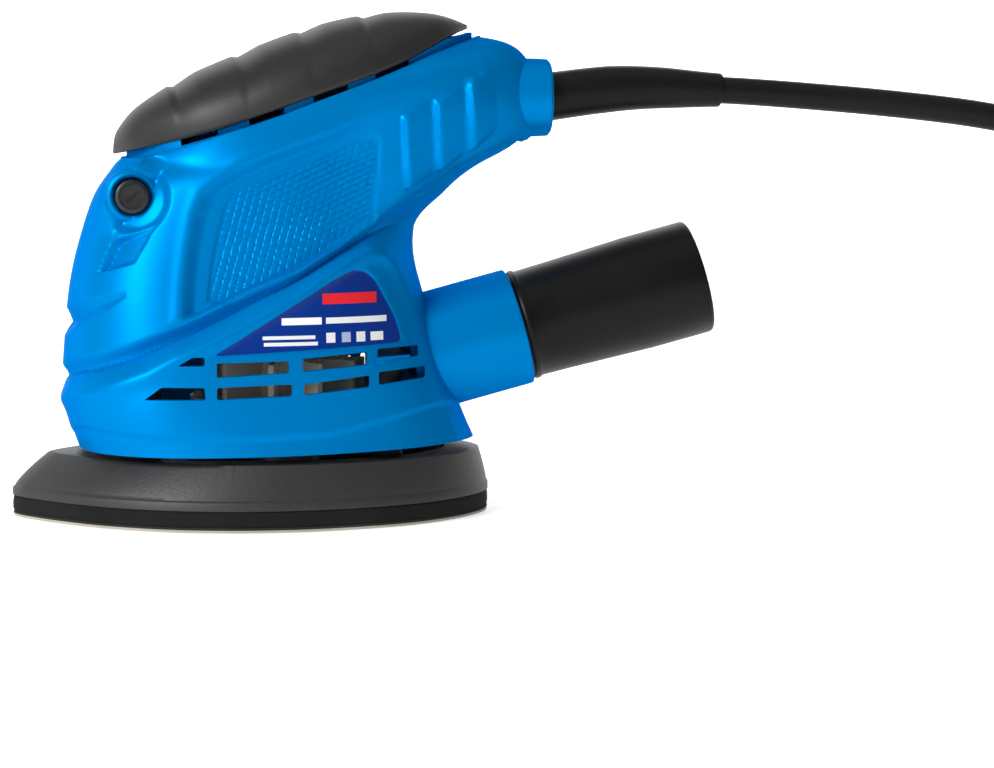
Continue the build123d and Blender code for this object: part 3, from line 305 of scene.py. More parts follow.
# How far the shoulder's edge stands above the last section's chord, by x.
SHOULDER_X = (-48, -38.5, -28, -17, -8, 1.5, 9.5, 20, 27.5, 37.5, 45, 52, 60, 78)
SHOULDER_RISE = (-0.6, -2.4, -2.5, -2.4, -2.4, -2.0, -1.3, -0.6, 0.0, 1.1, 2.0, 2.5, 3.0, 3.2)
NECK = [(-43.8, 0.0), (-38.0, 11.5), (-20.0, 22.5), (6.0, 26.0), (33.0, 20.5), (49.0, 9.5),
        (57.5, 0.0)]             # neck outline: x and half-width
RIM_X = (-47.2, -40.7, -28.5, -17.7, -9.8, 0.4, 8.3, 18.8, 26.5, 36.7, 44.7, 52.9, 56.1)
RIM_Z = (106.4, 107.9, 110.7, 113.6, 116.3, 119.9, 122.7, 126.4, 129.1, 133.3, 137.4, 141.6,
         142.7)


def section_curve(front, back, widths):
    """Half section as points (x, y, z), y outwards, evenly spaced."""
    length = np.hypot(back[0] - front[0], back[1] - front[1])
    flat = np.array([(0, 0)] + [(s * length, w) for s, w in zip(STATIONS, widths)] + [(length, 0)])
    knots = np.concatenate([[0], np.cumsum(np.linalg.norm(np.diff(flat, axis=0), axis=1))])
    dense = natural_spline(knots, flat, np.linspace(0, knots[-1], 900), [(0, 1), (0, -1)])
    even = resample(dense, COLUMNS, (0.28, 0.66))
    share = even[:, 0] / length
    return np.stack([front[0] + share * (back[0] - front[0]), even[:, 1],
                     front[1] + share * (back[1] - front[1])], 1)


def base_grid():
    """Smooth skin of the left half without its features: rows upwards, columns fore to aft."""
    curves = np.array([section_curve(*s) for s in SKIN])
    steps = np.linalg.norm(np.diff(curves, axis=0), axis=2).mean(1)
    knots = np.concatenate([[0], np.cumsum(steps)])
    rise = crowded(ROWS, (0.32, 0.80)) * knots[-1]
    grid = natural_spline(knots, curves.reshape(len(SKIN), -1), rise).reshape(ROWS, COLUMNS, 3)
    share = (rise / knots[-1])[:, None]
    lift = np.interp(grid[:, :, 0], SHOULDER_X, SHOULDER_RISE)
    grid[:, :, 2] += lift * smoothstep(0.62, 1.0, share)
    grid[:, 0, 1] = grid[:, -1, 1] = 0
    grid[:, :, 1] *= -1
    return grid


def normals_of(grid):
    du = np.gradient(grid, axis=1)
    dv = np.gradient(grid, axis=0)
    n = np.cross(du, dv)
    n /= np.linalg.norm(n, axis=2, keepdims=True) + 1e-12
    outward = grid - np.array([0, 0, MIDDLE_Z])
    return n * np.sign((n * outward).sum())


# Lines and outlines on the side of the body, as seen from the side: x, z.
LIP = [(-70, 37.9), (-61.2, 37.9), (-55.8, 38.2), (-49.5, 40.2), (-38.2, 44.6), (-30.4, 48.8),
       (-24.1, 51.2), (-10, 58.2), (4.2, 65.5), (12.1, 70.9), (19.9, 75.3), (25.5, 77.2),
       (29.5, 76.9), (32.5, 74.4), (35.6, 68.8), (38.7, 60.1), (42.6, 47.5), (48.1, 31.7),
       (51.2, 22)]
UPPER = [(-70, 47.5), (-57.4, 49), (-43.9, 53.3), (-30.2, 58.6), (-24.3, 61), (-10, 67.8),
         (4.4, 73.4), (16.1, 79.6), (23.9, 84.6), (30.2, 90.6), (35.6, 94.5), (45, 99)]
NOTCH = [(-70, 59.8), (-59, 60.6), (-52, 63.6), (-44.8, 66.7)]
WINDOW = [(-28.9, 50), (-28.9, 60), (-28.3, 68.9), (-27, 79.6), (-25.1, 89.1), (-22.7, 95.1),
          (-19.1, 98), (-12.5, 102.2), (-3.6, 105.7), (13.3, 111.6), (34, 119.5)]
PANEL = [(-22, 65.2), (-20.8, 75), (-18.9, 84), (-16.7, 91.9), (-14.6, 95.4), (-11.1, 97.5),
         (4.4, 103), (24.2, 111.4), (27.6, 111.2), (28.5, 108.6), (27.9, 95.9), (27, 86.5),
         (23, 81.5), (12, 76.2), (1.4, 71.2), (-10, 66.4), (-17, 64)]
LABEL = [(-21.7, 49.3), (-15.8, 52.6), (1.2, 62.9), (12.5, 69.6), (17.0, 72.0), (20.4, 73.2),
         (23.8, 72.6), (26.6, 70.2), (32.3, 59.8), (34.8, 51.8)]
POCKET = [(-35.1, 86.8), (-48.3, 82.0), (-53.0, 72.1), (-42.0, 75.2), (-39.0, 80.0)]
BELT = [(-70, 29), (-58.3, 28.6), (-40, 26.8), (-16.4, 25.9), (12.5, 26.9), (32.5, 31),
        (52.6, 35.3), (60, 37)]
SEAM = [(37.8, 93.6), (45, 97.1), (53, 101.8), (65.7, 109.7), (72.5, 112.8)]
RIB_LOW = [(30, 92), (35, 95), (45, 101), (55, 107.3), (62, 112.9), (70, 118)]
RIB_HIGH = [(30, 114.5), (34.1, 116.9), (43.6, 121.6), (53.6, 127.7), (60.2, 131.7), (68, 136)]
RIBS = (34.4, 44.2, 54.3)        # x where each saw tooth starts, at z = 105
BUTTON = (-42.6, 94.1)
TILE_LONG, TILE_HIGH, TILE_DEEP = 2.15, 1.75, 0.24


def relief(x, z, y, side):
    """How far the skin stands out from its smooth base, in millimetres."""
    z = z + 3.4 * smoothstep(26, 4, np.abs(y))
    lip, along = distance_to(LIP, x, z)
    upper, _ = distance_to(UPPER, x, z)
    width = np.maximum(lip - np.minimum(upper, 0), 0.1)
    across = np.clip(lip / width, 0, 1)
    bowl = np.where(across < 0.6, (np.sqrt(lip ** 2 + 0.8) - 0.89) / (0.6 * width),
                    smoothstep(1.0, 0.6, across))
    bowl = np.clip(bowl, 0, 1)
    deep = np.interp(along, (0, 0.1, 0.3, 0.6, 0.75, 1.0), (2.7, 3.7, 4.2, 3.7, 2.6, 1.6))
    in_channel = (lip >= 0) & (upper < 0)
    d = np.where(in_channel, 0.8 * smoothstep(0.9, 0.5, across) - deep * bowl,
                 0.8 * np.exp(-(lip / 2.4) ** 2) * (lip < 0))
    notch, share = distance_to(NOTCH, x, z)
    wide = np.interp(share, (0, 0.45, 1), (5.2, 3.6, 0.9))
    d -= np.interp(share, (0, 0.45, 0.97, 1), (3.2, 2.4, 0.4, 0)) \
        * np.clip(1 - np.abs(notch) / wide, 0, 1) ** 0.9
    above = smoothstep(0, 1.6, upper)
    edge = -distance_to(WINDOW, x, z)[0]
    d += above * (-2.3 * smoothstep(-0.8, 3.2, edge) * smoothstep(36, 14, x)
                  + 0.35 * np.exp(-((edge + 1.5) / 2.0) ** 2) * smoothstep(24, 4, x))
    panel = into(PANEL, x, z)
    d -= 0.5 * smoothstep(-0.3, 0.6, panel)
    tall = smoothstep(0, 1.2, -distance_to(RIB_HIGH, x, z)[0]) \
        * smoothstep(0, 1.2, distance_to(RIB_LOW, x, z)[0])
    lean = x + 0.055 * (z - 105)
    for start in RIBS:
        t = lean - start
        d += 1.7 * tall * np.interp(t, (0, 1.4, 2.0, 9.4), (0, 1, 1, 0), 0, 0)
    if side == NEAR:
        d -= 0.45 * smoothstep(-0.2, 0.5, into(LABEL, x, z))
    ramp = np.clip(1 - (x + 50.5 - 0.55 * (z - 77)) / 12.5, 0, 1)
    d -= 2.7 * ramp * smoothstep(0, 1.4, into(POCKET, x, z))
    ring = np.hypot(x - BUTTON[0], z - BUTTON[1])
    d -= 1.6 * smoothstep(11.5, 7.8, ring) * smoothstep(24.5, 27, np.abs(y))
    d -= 0.45 * smoothstep(0.5, -0.5, distance_to(BELT, x, z)[0])
    seam, share = distance_to(SEAM, x, z)
    d -= 1.1 * np.exp(-(seam / 0.9) ** 2) * smoothstep(0, 0.06, share) \
        * smoothstep(1.0, 0.93, share)
    return d * smoothstep(0, 3, np.abs(y) + 2.2)


def button_boss(base):
    """How far the cheek is filled out sideways round the button, in millimetres."""
    ring = np.hypot(base[:, :, 0] - BUTTON[0], base[:, :, 2] - BUTTON[1])
    return np.clip(26.3 - np.abs(base[:, :, 1]), 0, 9) * smoothstep(15.0, 8.0, ring)


def tiles(x, z):
    """Slanted rows of small raised tiles in the side panel."""
    along, high = x - 0.30 * z, z - 0.44 * x
    row = high / TILE_HIGH
    col = along / TILE_LONG
    gap = np.minimum(0.5 - np.abs(row % 1 - 0.5), (0.5 - np.abs(col % 1 - 0.5)) * 1.3)
    return TILE_DEEP * (smoothstep(0.02, 0.17, gap) - 0.5) \
        * smoothstep(0.8, 1.6, into(PANEL, x, z))


def neck_half(x):
    """Half-width of the neck under the grip."""
    return np.clip(natural_spline(*np.array(NECK).T, x), 0, None)


def shoulder_height(x):
    return 105 + (x + 45.5) * 31.5 / 105.5 + np.interp(x, SHOULDER_X, SHOULDER_RISE)


def solid_half(skin, top_drop=0.0, neck=True):
    """Closed solid of one half from its skin rows, ends and middle plane closed flat."""
    columns = skin.shape[1]
    bottom = skin[0].copy()
    bottom[:, 1] = 0
    extra = []
    edge = skin[-1]
    if neck:
        x_neck = np.interp(edge[:, 0], (edge[0, 0], edge[-1, 0]), (NECK[0][0], NECK[-1][0]))
        y_neck = -np.minimum(neck_half(x_neck), np.abs(edge[:, 1]) * 0.97)
        base = np.stack([x_neck, y_neck, shoulder_height(x_neck) + 0.3], 1)
        for t, lift in ((0.04, 0.35), (0.11, 0.5), (0.5, 0.3), (1.0, 0.0)):
            row = edge + (base - edge) * t
            row[:, 2] += lift
            extra.append(row)
        wall = base.copy()
        wall[:, 2] = np.interp(x_neck, RIM_X, RIM_Z) + np.interp(x_neck, (40, 54), (1.0, -1.9))
        extra.append(wall)
        cap = wall.copy()
    else:
        cap = edge.copy()
        cap[:, 2] -= top_drop
    cap[:, 1] = 0
    stack = np.concatenate([bottom[None], skin] + [e[None] for e in extra] + [cap[None]])
    stack[:, 0, 1] = stack[:, -1, 1] = 0
    n = stack.shape[0]
    points = stack.reshape(-1, 3)
    index = np.arange(n * columns).reshape(n, columns)
    faces = np.stack([index[:-1, :-1], index[:-1, 1:], index[1:, 1:], index[1:, :-1]], -1)
    faces = [tuple(f) for f in faces.reshape(-1, 4)]
    loop = list(index[:, 0][::-1]) + list(index[0, 1:]) + list(index[1:, -1]) \
        + list(index[-1, 1:-1][::-1])
    faces.append(tuple(loop))
    return points, faces


def weld(obj):
    """Merge doubled points, and turn every face outwards."""
    work = bmesh.new()
    work.from_mesh(obj.data)
    bmesh.ops.remove_doubles(work, verts=work.verts, dist=2e-6)
    bmesh.ops.dissolve_degenerate(work, dist=1e-6, edges=work.edges)
    bmesh.ops.recalc_face_normals(work, faces=work.faces)
    work.to_mesh(obj.data)
    work.free()
    return obj


def boolean(obj, tools, operation="DIFFERENCE", solver="MANIFOLD"):
    """obj cut by, or joined to, each closed tool; the tools are then removed."""
    for tool in tools:
        cut = obj.modifiers.new("cut", "BOOLEAN")
        cut.object, cut.operation, cut.solver = tool, operation, solver
        whole = obj.data
        apply_modifiers(obj)
        if not len(obj.data.polygons):
            obj.data = whole
            cut = obj.modifiers.new("cut", "BOOLEAN")
            cut.object, cut.operation, cut.solver = tool, operation, "EXACT"
            apply_modifiers(obj)
        if not len(obj.data.polygons):
            raise RuntimeError("boolean emptied " + obj.name + " with " + tool.name)
        bpy.data.objects.remove(tool)
    return obj


def prism(name, outline, low, high, axis="y"):
    """Closed prism: an x-z outline from y=low to y=high, or an x-y outline in z."""
    n = len(outline)
    if axis == "y":
        points = [(x, low, z) for x, z in outline] + [(x, high, z) for x, z in outline]
    else:
        points = [(x, y, low) for x, y in outline] + [(x, y, high) for x, y in outline]
    faces = [tuple(range(n))[::-1], tuple(range(n, 2 * n))] \
        + [(i, (i + 1) % n, n + (i + 1) % n, n + i) for i in range(n)]
    return weld(mesh_object(name, points, faces, smooth=False))


def lathe(name, profile, start, direction, segments=96, sweep=2 * pi):
    """Turned shape: profile (along, radius) about an axis; partial sweeps are capped."""
    axis = Vector(direction).normalized()
    side = axis.cross(Vector((0, 1, 0) if abs(axis.y) < 0.9 else (1, 0, 0))).normalized()
    other = axis.cross(side)
    whole = abs(sweep - 2 * pi) < 1e-6
    count = segments if whole else segments + 1
    points, faces, m = [], [], len(profile)
    for k in range(count):
        a = sweep * k / segments
        for s, r in profile:
            points.append(Vector(start) + axis * s + (side * cos(a) + other * sin(a)) * r)
    for k in range(segments):
        k2 = (k + 1) % count
        for i in range(m):
            i2 = (i + 1) % m
            faces.append((k * m + i, k2 * m + i, k2 * m + i2, k * m + i2))
    if not whole:
        faces += [tuple(range(m)), tuple(range((count - 1) * m, count * m))[::-1]]
    return weld(mesh_object(name, points, faces))


def eroded(d, reach=3):
    """Lowest value within reach cells, for an inner wall that keeps its thickness."""
    out = d.copy()
    for axis in (0, 1):
        pad = np.pad(out, [(reach, reach) if a == axis else (0, 0) for a in (0, 1)], mode="edge")
        n = out.shape[axis]
        out = np.min([np.take(pad, range(k, k + n), axis) for k in range(2 * reach + 1)], 0)
    return out


VENTS = [
    [(-30.6, 46.9), (-26.4, 49.4), (-23.0, 49.3), (-23.0, 46.8)],
    [(-19.7, 43.6), (-19.7, 47.6), (0.7, 47.9), (0.7, 44.5)],
    [(4.6, 44.8), (4.6, 48.5), (23.4, 49.7), (23.4, 46.0)],
    [(26.5, 46.5), (26.5, 50.5), (39.1, 50.6), (39.1, 47.5)],
    [(-40.0, 37.4), (-35.2, 41.0), (-23.1, 40.8), (-22.8, 37.4)],
    [(-19.7, 37.4), (-19.7, 40.8), (1.5, 41.4), (1.5, 38.0)],
    [(4.9, 38.2), (4.9, 41.3), (24.0, 43.1), (24.0, 39.7)],
    [(26.8, 40.2), (26.8, 43.9), (41.1, 44.6), (41.1, 41.2)],
]
NECK_SLOTS = [(-28.4, -17.9), (-9.1, 0.8), (9.1, 19.1), (27.1, 37.1)]
HOUSING_SCREWS = [(-51, 40), (-50, 71), (31, 74), (45, 98), (62, 111)]
AXIS = (cos(radians(15)), 0, sin(radians(15)))
SPIGOT_END = (71.4, 0, 54.1)
HALF_GAP = 0.06                  # of the joint line between the halves


def smooth_outline(outline, radius, count=5):
    """An outline with its corners rounded."""
    out, n = [], len(outline)
    for i in range(n):
        a, b, c = (np.array(outline[k % n], float) for k in (i - 1, i, i + 1))
        ab, cb = (a - b), (c - b)
        r = min(radius, 0.4 * np.linalg.norm(ab), 0.4 * np.linalg.norm(cb))
        p, q = b + ab / np.linalg.norm(ab) * r, b + cb / np.linalg.norm(cb) * r
        for t in np.linspace(0, 1, count):
            out.append(tuple((1 - t) ** 2 * p + 2 * t * (1 - t) * b + t ** 2 * q))
    return out


def circle(x, y, r, count=48):
    return [(x + r * cos(2 * pi * k / count), y + r * sin(2 * pi * k / count))
            for k in range(count)]


def body_half(side):
    """One moulded half: relief, hollow inside, vents, slots, collar and button ring."""
    base = base_grid()
    n = normals_of(base)
    d = relief(base[:, :, 0], base[:, :, 2], base[:, :, 1], side)
    fine = d + tiles(base[:, :, 0], base[:, :, 2])
    skin = base + n * fine[:, :, None]
    skin[:, :, 1] = np.minimum(skin[:, :, 1] - button_boss(base), 0)
    skin[:, 0, 1] = skin[:, -1, 1] = 0
    body = weld(mesh_object("half", *solid_half(skin)))
    thin = (eroded(d) - SHELL)[::4, ::4]
    room = base[::4, ::4] + n[::4, ::4] * thin[:, :, None]
    room = room[:, 1:-1]
    room[0, :, 2] -= 6
    room[:, :, 1] = np.minimum(room[:, :, 1], -0.0)
    room[:, 0, 1] = room[:, -1, 1] = 0
    hollow = weld(mesh_object("hollow", *solid_half(room, 0.4, neck=False)))
    hollow.data.transform(Matrix.Translation((0, 0.4 * MM, 0)))
    cutters = [hollow]
    for vent in VENTS:
        cutters.append(prism("vent", smooth_outline(vent, 0.7), -60, -2))
    for low, high in NECK_SLOTS:
        z0, z1 = shoulder_height(low) + 0.5, shoulder_height(high) + 0.5
        outline = [(low, z0), (high, z1), (high - 0.3, z1 + 3.3), (low - 0.3, z0 + 3.3)]
        cutters.append(prism("neck_slot", outline, -60, -4))
    cutters.append(lathe("spigot_hole", [(-60, 0), (-60, 17.5), (5, 17.5), (5, 0)], SPIGOT_END,
                         AXIS))
    cutters.append(lathe("boot_hole", [(40, 0), (40, 7.6), (90, 7.6), (90, 0)],
                         (0, 0, 121.5), (1, 0, 0)))
    cutters.append(lathe("button_hole", [(10, 0), (10, 5.6), (40, 5.6), (40, 0)],
                         (BUTTON[0], 0, BUTTON[1]), (0, -1, 0)))
    if side == FAR:
        for x, z in HOUSING_SCREWS:
            cutters.append(lathe("well", [(8, 0), (8, 3.3), (60, 3.3), (60, 0)], (x, 0, z),
                                 (0, -1, 0), 40))
    body = boolean(body, cutters)
    i, j = surface_point(base, *BUTTON)
    face = -base[i, j, 1] + 0.9
    ring = lathe("ring", [(18, 4.95), (face - 5, 4.95), (face - 5, 5.6), (face - 0.6, 5.6),
                          (face - 0.15, 5.85), (face, 6.3), (face - 0.2, 6.9),
                          (face - 1.1, 7.7), (18, 8.0)],
                 (BUTTON[0], 0, BUTTON[1]), (0, -1, 0))
    collar = lathe("collar", [(64, 7.7), (79.6, 7.7), (80.5, 8.3), (80.5, 10.4), (79.7, 11.3),
                              (76.4, 11.5), (64, 11.6)], (0, 0, 121.7), (1, 0, 0), 48, pi)
    parts = [body, ring, collar]
    arc = [pi + a for a in np.linspace(-radians(42), 0, 10)]
    scroll = [(31.2 * cos(a), -abs(31.2 * sin(a))) for a in arc] \
        + [(30.0 * cos(a), -abs(30.0 * sin(a))) for a in arc[::-1]]
    parts.append(prism("scroll_wall", scroll, 38, 60, "z"))
    for outline in ([(-56, 0), (-56, -16), (-45, -30), (-28, -36), (-28, 0)],
                    [(26, 0), (26, -33), (36.5, -25), (36.5, 0)]):
        parts.append(prism("post_plate", outline, 46, 48, "z"))
    if side == FAR:
        for x, z in HOUSING_SCREWS:
            near = np.hypot(skin[:, :, 0] - x, skin[:, :, 2] - z) < 5.2
            reach = float(np.abs(skin[:, :, 1][near]).min()) - 0.5
            parts.append(lathe("boss", [(8.2, 0), (8.2, 3.2), (reach, 3.3), (reach, 4.5),
                                        (7.6, 4.5), (7.6, 0)], (x, 0, z), (0, -1, 0), 40))
    half = join("body_left" if side == NEAR else "body_right", parts)
    half.data.transform(Matrix.Translation((0, -HALF_GAP / 2 * MM, 0)))
    if side == FAR:
        half.data.transform(Matrix.Scale(-1, 4, (0, 1, 0)))
        half.data.flip_normals()
    return half


def surface_point(base, x, z):
    """Grid position of the skin nearest to a side-view spot on the near side."""
    gap = np.hypot(base[:, :, 0] - x, base[:, :, 2] - z)
    return np.unravel_index(np.argmin(gap), gap.shape)


def label_patch():
    """Thin film that follows the skin inside its recess."""
    base = base_grid()
    n = normals_of(base)
    skin = base + n * relief(base[:, :, 0], base[:, :, 2], base[:, :, 1], NEAR)[:, :, None]
    near = into(LABEL, base[:, :, 0], base[:, :, 2]) > -2.5
    i, j = np.where(near)
    part = (slice(i.min(), i.max() + 1), slice(j.min(), j.max() + 1))
    out, back = skin[part] + n[part] * 0.12, skin[part] - n[part] * 0.35
    r, c, _ = out.shape
    index = np.arange(r * c).reshape(r, c)
    faces = np.stack([index[:-1, :-1], index[:-1, 1:], index[1:, 1:], index[1:, :-1]],
                     -1).reshape(-1, 4)
    rim = np.concatenate([index[0, :-1], index[:-1, -1], index[-1, :0:-1], index[:0:-1, 0]])
    nxt = np.roll(rim, -1)
    k = r * c
    faces = [tuple(f) for f in faces] + [tuple(f[::-1] + k) for f in faces] \
        + [(a, b, b + k, a + k) for a, b in zip(rim, nxt)]
    slab = weld(mesh_object("label_film", np.concatenate([out.reshape(-1, 3),
                                                         back.reshape(-1, 3)]), faces))
    outline = np.array(smooth_outline(LABEL, 2.5))
    centre = np.array((14.0, 60.0))
    outline = centre + (outline - centre) * 0.972
    return boolean(slab, [prism("cut", [tuple(p) for p in outline], -60, -20)], "INTERSECT")


# ---------------------------------------------------------------- grip
GRIP_TIPS = (-47.6, 106.0), (56.1, 142.7)
GRIP = [(0.0, 0.2, 0.3), (1.0, 2.4, 2.6), (4.0, 8.0, 6.2), (8.0, 12.8, 8.8), (14.0, 17.8, 11.0),
        (24.0, 24.0, 13.2), (40.0, 28.4, 14.6), (57.0, 29.5, 15.2), (74.0, 27.2, 14.4),
        (88.0, 22.0, 11.8), (97.0, 15.5, 8.8), (103.0, 10.0, 5.9), (107.5, 4.2, 2.6),
        (110.0, 0.3, 0.3)]
FLUTES = (-28.0, -9.0, 9.5, 27.5)


def grip_mesh():
    """Palm grip: pointed dome with four stepped finger flutes, a rolled rim and a flat back."""
    (x0, z0), (x1, z1) = GRIP_TIPS
    length = np.hypot(x1 - x0, z1 - z0)
    ux, uz = (x1 - x0) / length, (z1 - z0) / length
    table = np.array(GRIP)
    s = np.concatenate([[0.0], length * (0.5 - 0.5 * np.cos(np.linspace(0.06, 1, 250) * pi))])
    dense = np.linspace(0, table[-1, 0], 600)
    wide = np.interp(s, dense, natural_spline(table[:, 0], table[:, 1], dense))
    high = np.interp(s, dense, natural_spline(table[:, 0], table[:, 2], dense))
    wide, high = np.clip(wide, 0.15, None), np.clip(high, 0.15, None)
    around = np.linspace(0, pi, 121)
    ring = []
    for si, w, h in zip(s, wide, high):
        x, z = x0 + ux * si, z0 + uz * si
        sag = np.interp(x, RIM_X, RIM_Z) - z
        c, up = np.cos(around), np.sin(around)
        y = -w * np.sign(c) * np.abs(c) ** 0.92
        rise = h * np.abs(up) ** 0.9
        ends = smoothstep(0, 9, si) * smoothstep(length, length - 9, si)
        for f in FLUTES:
            t = x - 0.45 * rise * uz - f
            rise = rise - 0.95 * ends * up ** 0.7 * np.interp(t, (-1.6, 0.0, 6.5), (0, 1, 0), 0, 0)
        low = sag * (1 - up) ** 1.2
        px = x - uz * rise
        pz = z + low + ux * rise
        top = np.stack([px, y, pz], 1)
        lip_in = np.array([[px[-1], y[-1] * 0.90, pz[-1] - 0.9], [px[0], y[0] * 0.90, pz[0] - 0.9]])
        roll = np.array([[px[-1], y[-1] * 0.985, pz[-1] - 0.65]])
        roll2 = np.array([[px[0], y[0] * 0.985, pz[0] - 0.65]])
        ring.append(np.concatenate([top, roll, lip_in, roll2]))
    ring = np.array(ring)
    n, m, _ = ring.shape
    index = np.arange(n * m).reshape(n, m)
    wrap = np.roll(index, -1, 1)
    faces = [tuple(f) for f in np.stack([index[:-1], wrap[:-1], wrap[1:], index[1:]],
                                        -1).reshape(-1, 4)]
    faces += [tuple(index[0][::-1]), tuple(index[-1])]
    return weld(mesh_object("palm_grip", ring.reshape(-1, 3), faces))


# ---------------------------------------------------------------- pad
PAD_FRONT, PAD_REAR, PAD_HALF = -78, 62, 46.2
PAD = [(PAD_FRONT, 0), (-72.8, 9.2), (-55.5, 27.8), (-37.3, 39.6), (-10.9, PAD_HALF),
       (16.2, 43.3), (38.4, 34.0), (53.6, 20.0), (PAD_REAR, 0)]
PAD_HOLES = [(-50, 0), (-24, 27), (-24, -27), (12, 28), (12, -28), (46, 0)]


def pad_outline(count=200):
    """Near half and far half of the pad's outline, closed."""
    line = np.array(PAD, float)
    knots = np.concatenate([[0], np.cumsum(np.linalg.norm(np.diff(line, axis=0), axis=1))])
    near = natural_spline(knots, line, np.linspace(0, knots[-1], 900),
                          [(0.25, 0.97), (0.0, -1.0)])
    near = resample(near, count // 2 + 1)
    near[0, 1] = near[-1, 1] = 0
    return np.concatenate([near * (1, -1), near[-2:0:-1]])


def inset(outline, front, side, rear):
    """The outline drawn in by front, side and rear amounts."""
    x = np.interp(outline[:, 0], (PAD_FRONT, PAD_REAR), (PAD_FRONT + front, PAD_REAR - rear))
    return np.stack([x, outline[:, 1] * (1 - side / PAD_HALF)], 1)


def stack(name, levels, holes=(), hole_r=3.5, low=-1.0, high=30.0):
    """Solid through outlines at rising heights, with round holes through it."""
    levels = [np.column_stack([o, np.full(len(o), z)]) for z, o in levels]
    m, n = len(levels[0]), len(levels)
    points = np.concatenate(levels)
    index = np.arange(m * n).reshape(n, m)
    wrap = np.roll(index, -1, 1)
    faces = [tuple(f) for f in np.stack([index[:-1], wrap[:-1], wrap[1:], index[1:]],
                                        -1).reshape(-1, 4)]
    faces += [tuple(index[0][::-1]), tuple(index[-1])]
    solid = weld(mesh_object(name, points, faces))
    return boolean(solid, [prism("hole", circle(x, y, hole_r), low, high, "z")
                           for x, y in holes])


def pad_pieces():
    line = pad_outline()
    wave = np.random.default_rng(4)
    foam = []
    for z, bulge in ((1.4, 0.25), (1.6, 0.05), (2.4, -0.12), (3.7, -0.2), (5.0, -0.12),
                     (5.8, 0.05), (6.0, 0.25)):
        rough = wave.normal(0, 0.05, len(line))
        foam.append((z, inset(line, *(bulge + 0.3,) * 3) + rough[:, None] * 0.5))
    foam = stack("foam_pad", foam, PAD_HOLES)
    hook = stack("hook_layer", [(0.72, inset(line, 0.3, 0.3, 0.3)),
                                (1.05, inset(line, 0.15, 0.15, 0.15)),
                                (1.4, inset(line, 0.3, 0.3, 0.3))], PAD_HOLES)
    sheet = stack("abrasive_sheet", [(0.0, inset(line, 0.35, 0.35, 0.35)),
                                     (0.7, inset(line, 0.35, 0.35, 0.35))], PAD_HOLES)
    slope = [(6.0, 0.3), (6.15, 0.0), (8.2, 0.0), (8.7, 0.25)]
    levels = [(z, inset(line, a, a, a)) for z, a in slope]
    for t in np.linspace(0, 1, 12):
        z = 8.95 + 9.65 * t
        ease = t ** 1.25
        levels.append((z, inset(line, 0.7 + 9.8 * ease, 0.6 + 3.4 * ease, 0.5 + 2.3 * ease)))
    levels += [(18.75, inset(line, 10.9, 4.4, 3.2)), (18.8, inset(line, 11.6, 5.1, 3.9))]
    plate = stack("platen", levels, PAD_HOLES)
    well = stack("well", [(9.4, inset(line, 27, 14, 14)), (22.0, inset(line, 25, 13, 13))])
    plate = boolean(plate, [well])
    return foam, hook, sheet, plate


# ---------------------------------------------------------------- cord, boot and plug
BOOT = [(66, 121.5, 7.3), (75, 121.5, 7.3), (83, 122.3, 7.1), (98, 124.1, 6.9),
        (115, 124.5, 6.1), (128, 124.0, 5.2), (131.4, 123.85, 5.05), (132, 123.8, 4.75)]
CORD_D = 8.0
COIL = (352.0, 0.0)              # middle of the put-away coil
COIL_RADII = (50, 42, 34, 34, 42, 50)
COIL_HEIGHTS = (4.05, 4.05, 4.05, 12.1, 12.1, 12.1)
COIL_START, COIL_STEP = radians(-98), radians(15)
CROSSING = radians(52)           # where a turn starts to move over to the next one
LEAD = [(115, 0, 124.5), (130, 0, 124.0), (145, -1.2, 123.1), (160, -3.5, 121.9),
        (175, -6.6, 120.6), (190, -10.5, 119.0), (205, -14.5, 117.1), (220, -18.5, 114.2),
        (235, -22.2, 109.4), (248, -25.5, 102.3), (260, -28.0, 92.6), (270, -30.1, 81.5),
        (278, -32.1, 69.4), (285, -34.2, 56.4), (291, -36.2, 43.9), (297, -38.5, 31.6),
        (303.5, -40.6, 21.3), (311, -43.0, 13.1), (319, -45.6, 7.8), (327, -47.9, 5.0),
        (335, -49.4, 4.1)]


def cord_path():
    """Route of the whole cord: boot, fall to the floor, turns of the coil, plug."""
    route = list(LEAD)
    last = len(COIL_RADII) - 1
    for k in range(int(round(len(COIL_RADII) * 2 * pi / COIL_STEP))):
        a = k * COIL_STEP
        turn = min(int(a // (2 * pi)), last)
        r, z = COIL_RADII[turn], COIL_HEIGHTS[turn]
        if turn < last:
            blend = float(smoothstep(2 * pi - CROSSING, 2 * pi, a - turn * 2 * pi))
            r += (COIL_RADII[turn + 1] - r) * blend
            z += (COIL_HEIGHTS[turn + 1] - z) * blend
        if turn not in (2, 3):   # the outer turns wander a little
            r += 0.14 * sin(3.1 * a + 1.0)
        route.append((COIL[0] + r * cos(COIL_START + a), COIL[1] + r * sin(COIL_START + a), z))
    route += [(COIL[0] - 8.7, -49.6, 12.0), (COIL[0] + 5.1, -51.4, 12.3),
              (COIL[0] + 18.9, -49.2, 13.7), (COIL[0] + 31.0, -42.2, 16.6),
              (COIL[0] + 40.0, -31.5, 20.1), (COIL[0] + 44.6, -18.3, 23.5),
              (COIL[0] + 44.8, -7.0, 25.0), (COIL[0] + 44.8, 2.0, 25.0)]
    return route


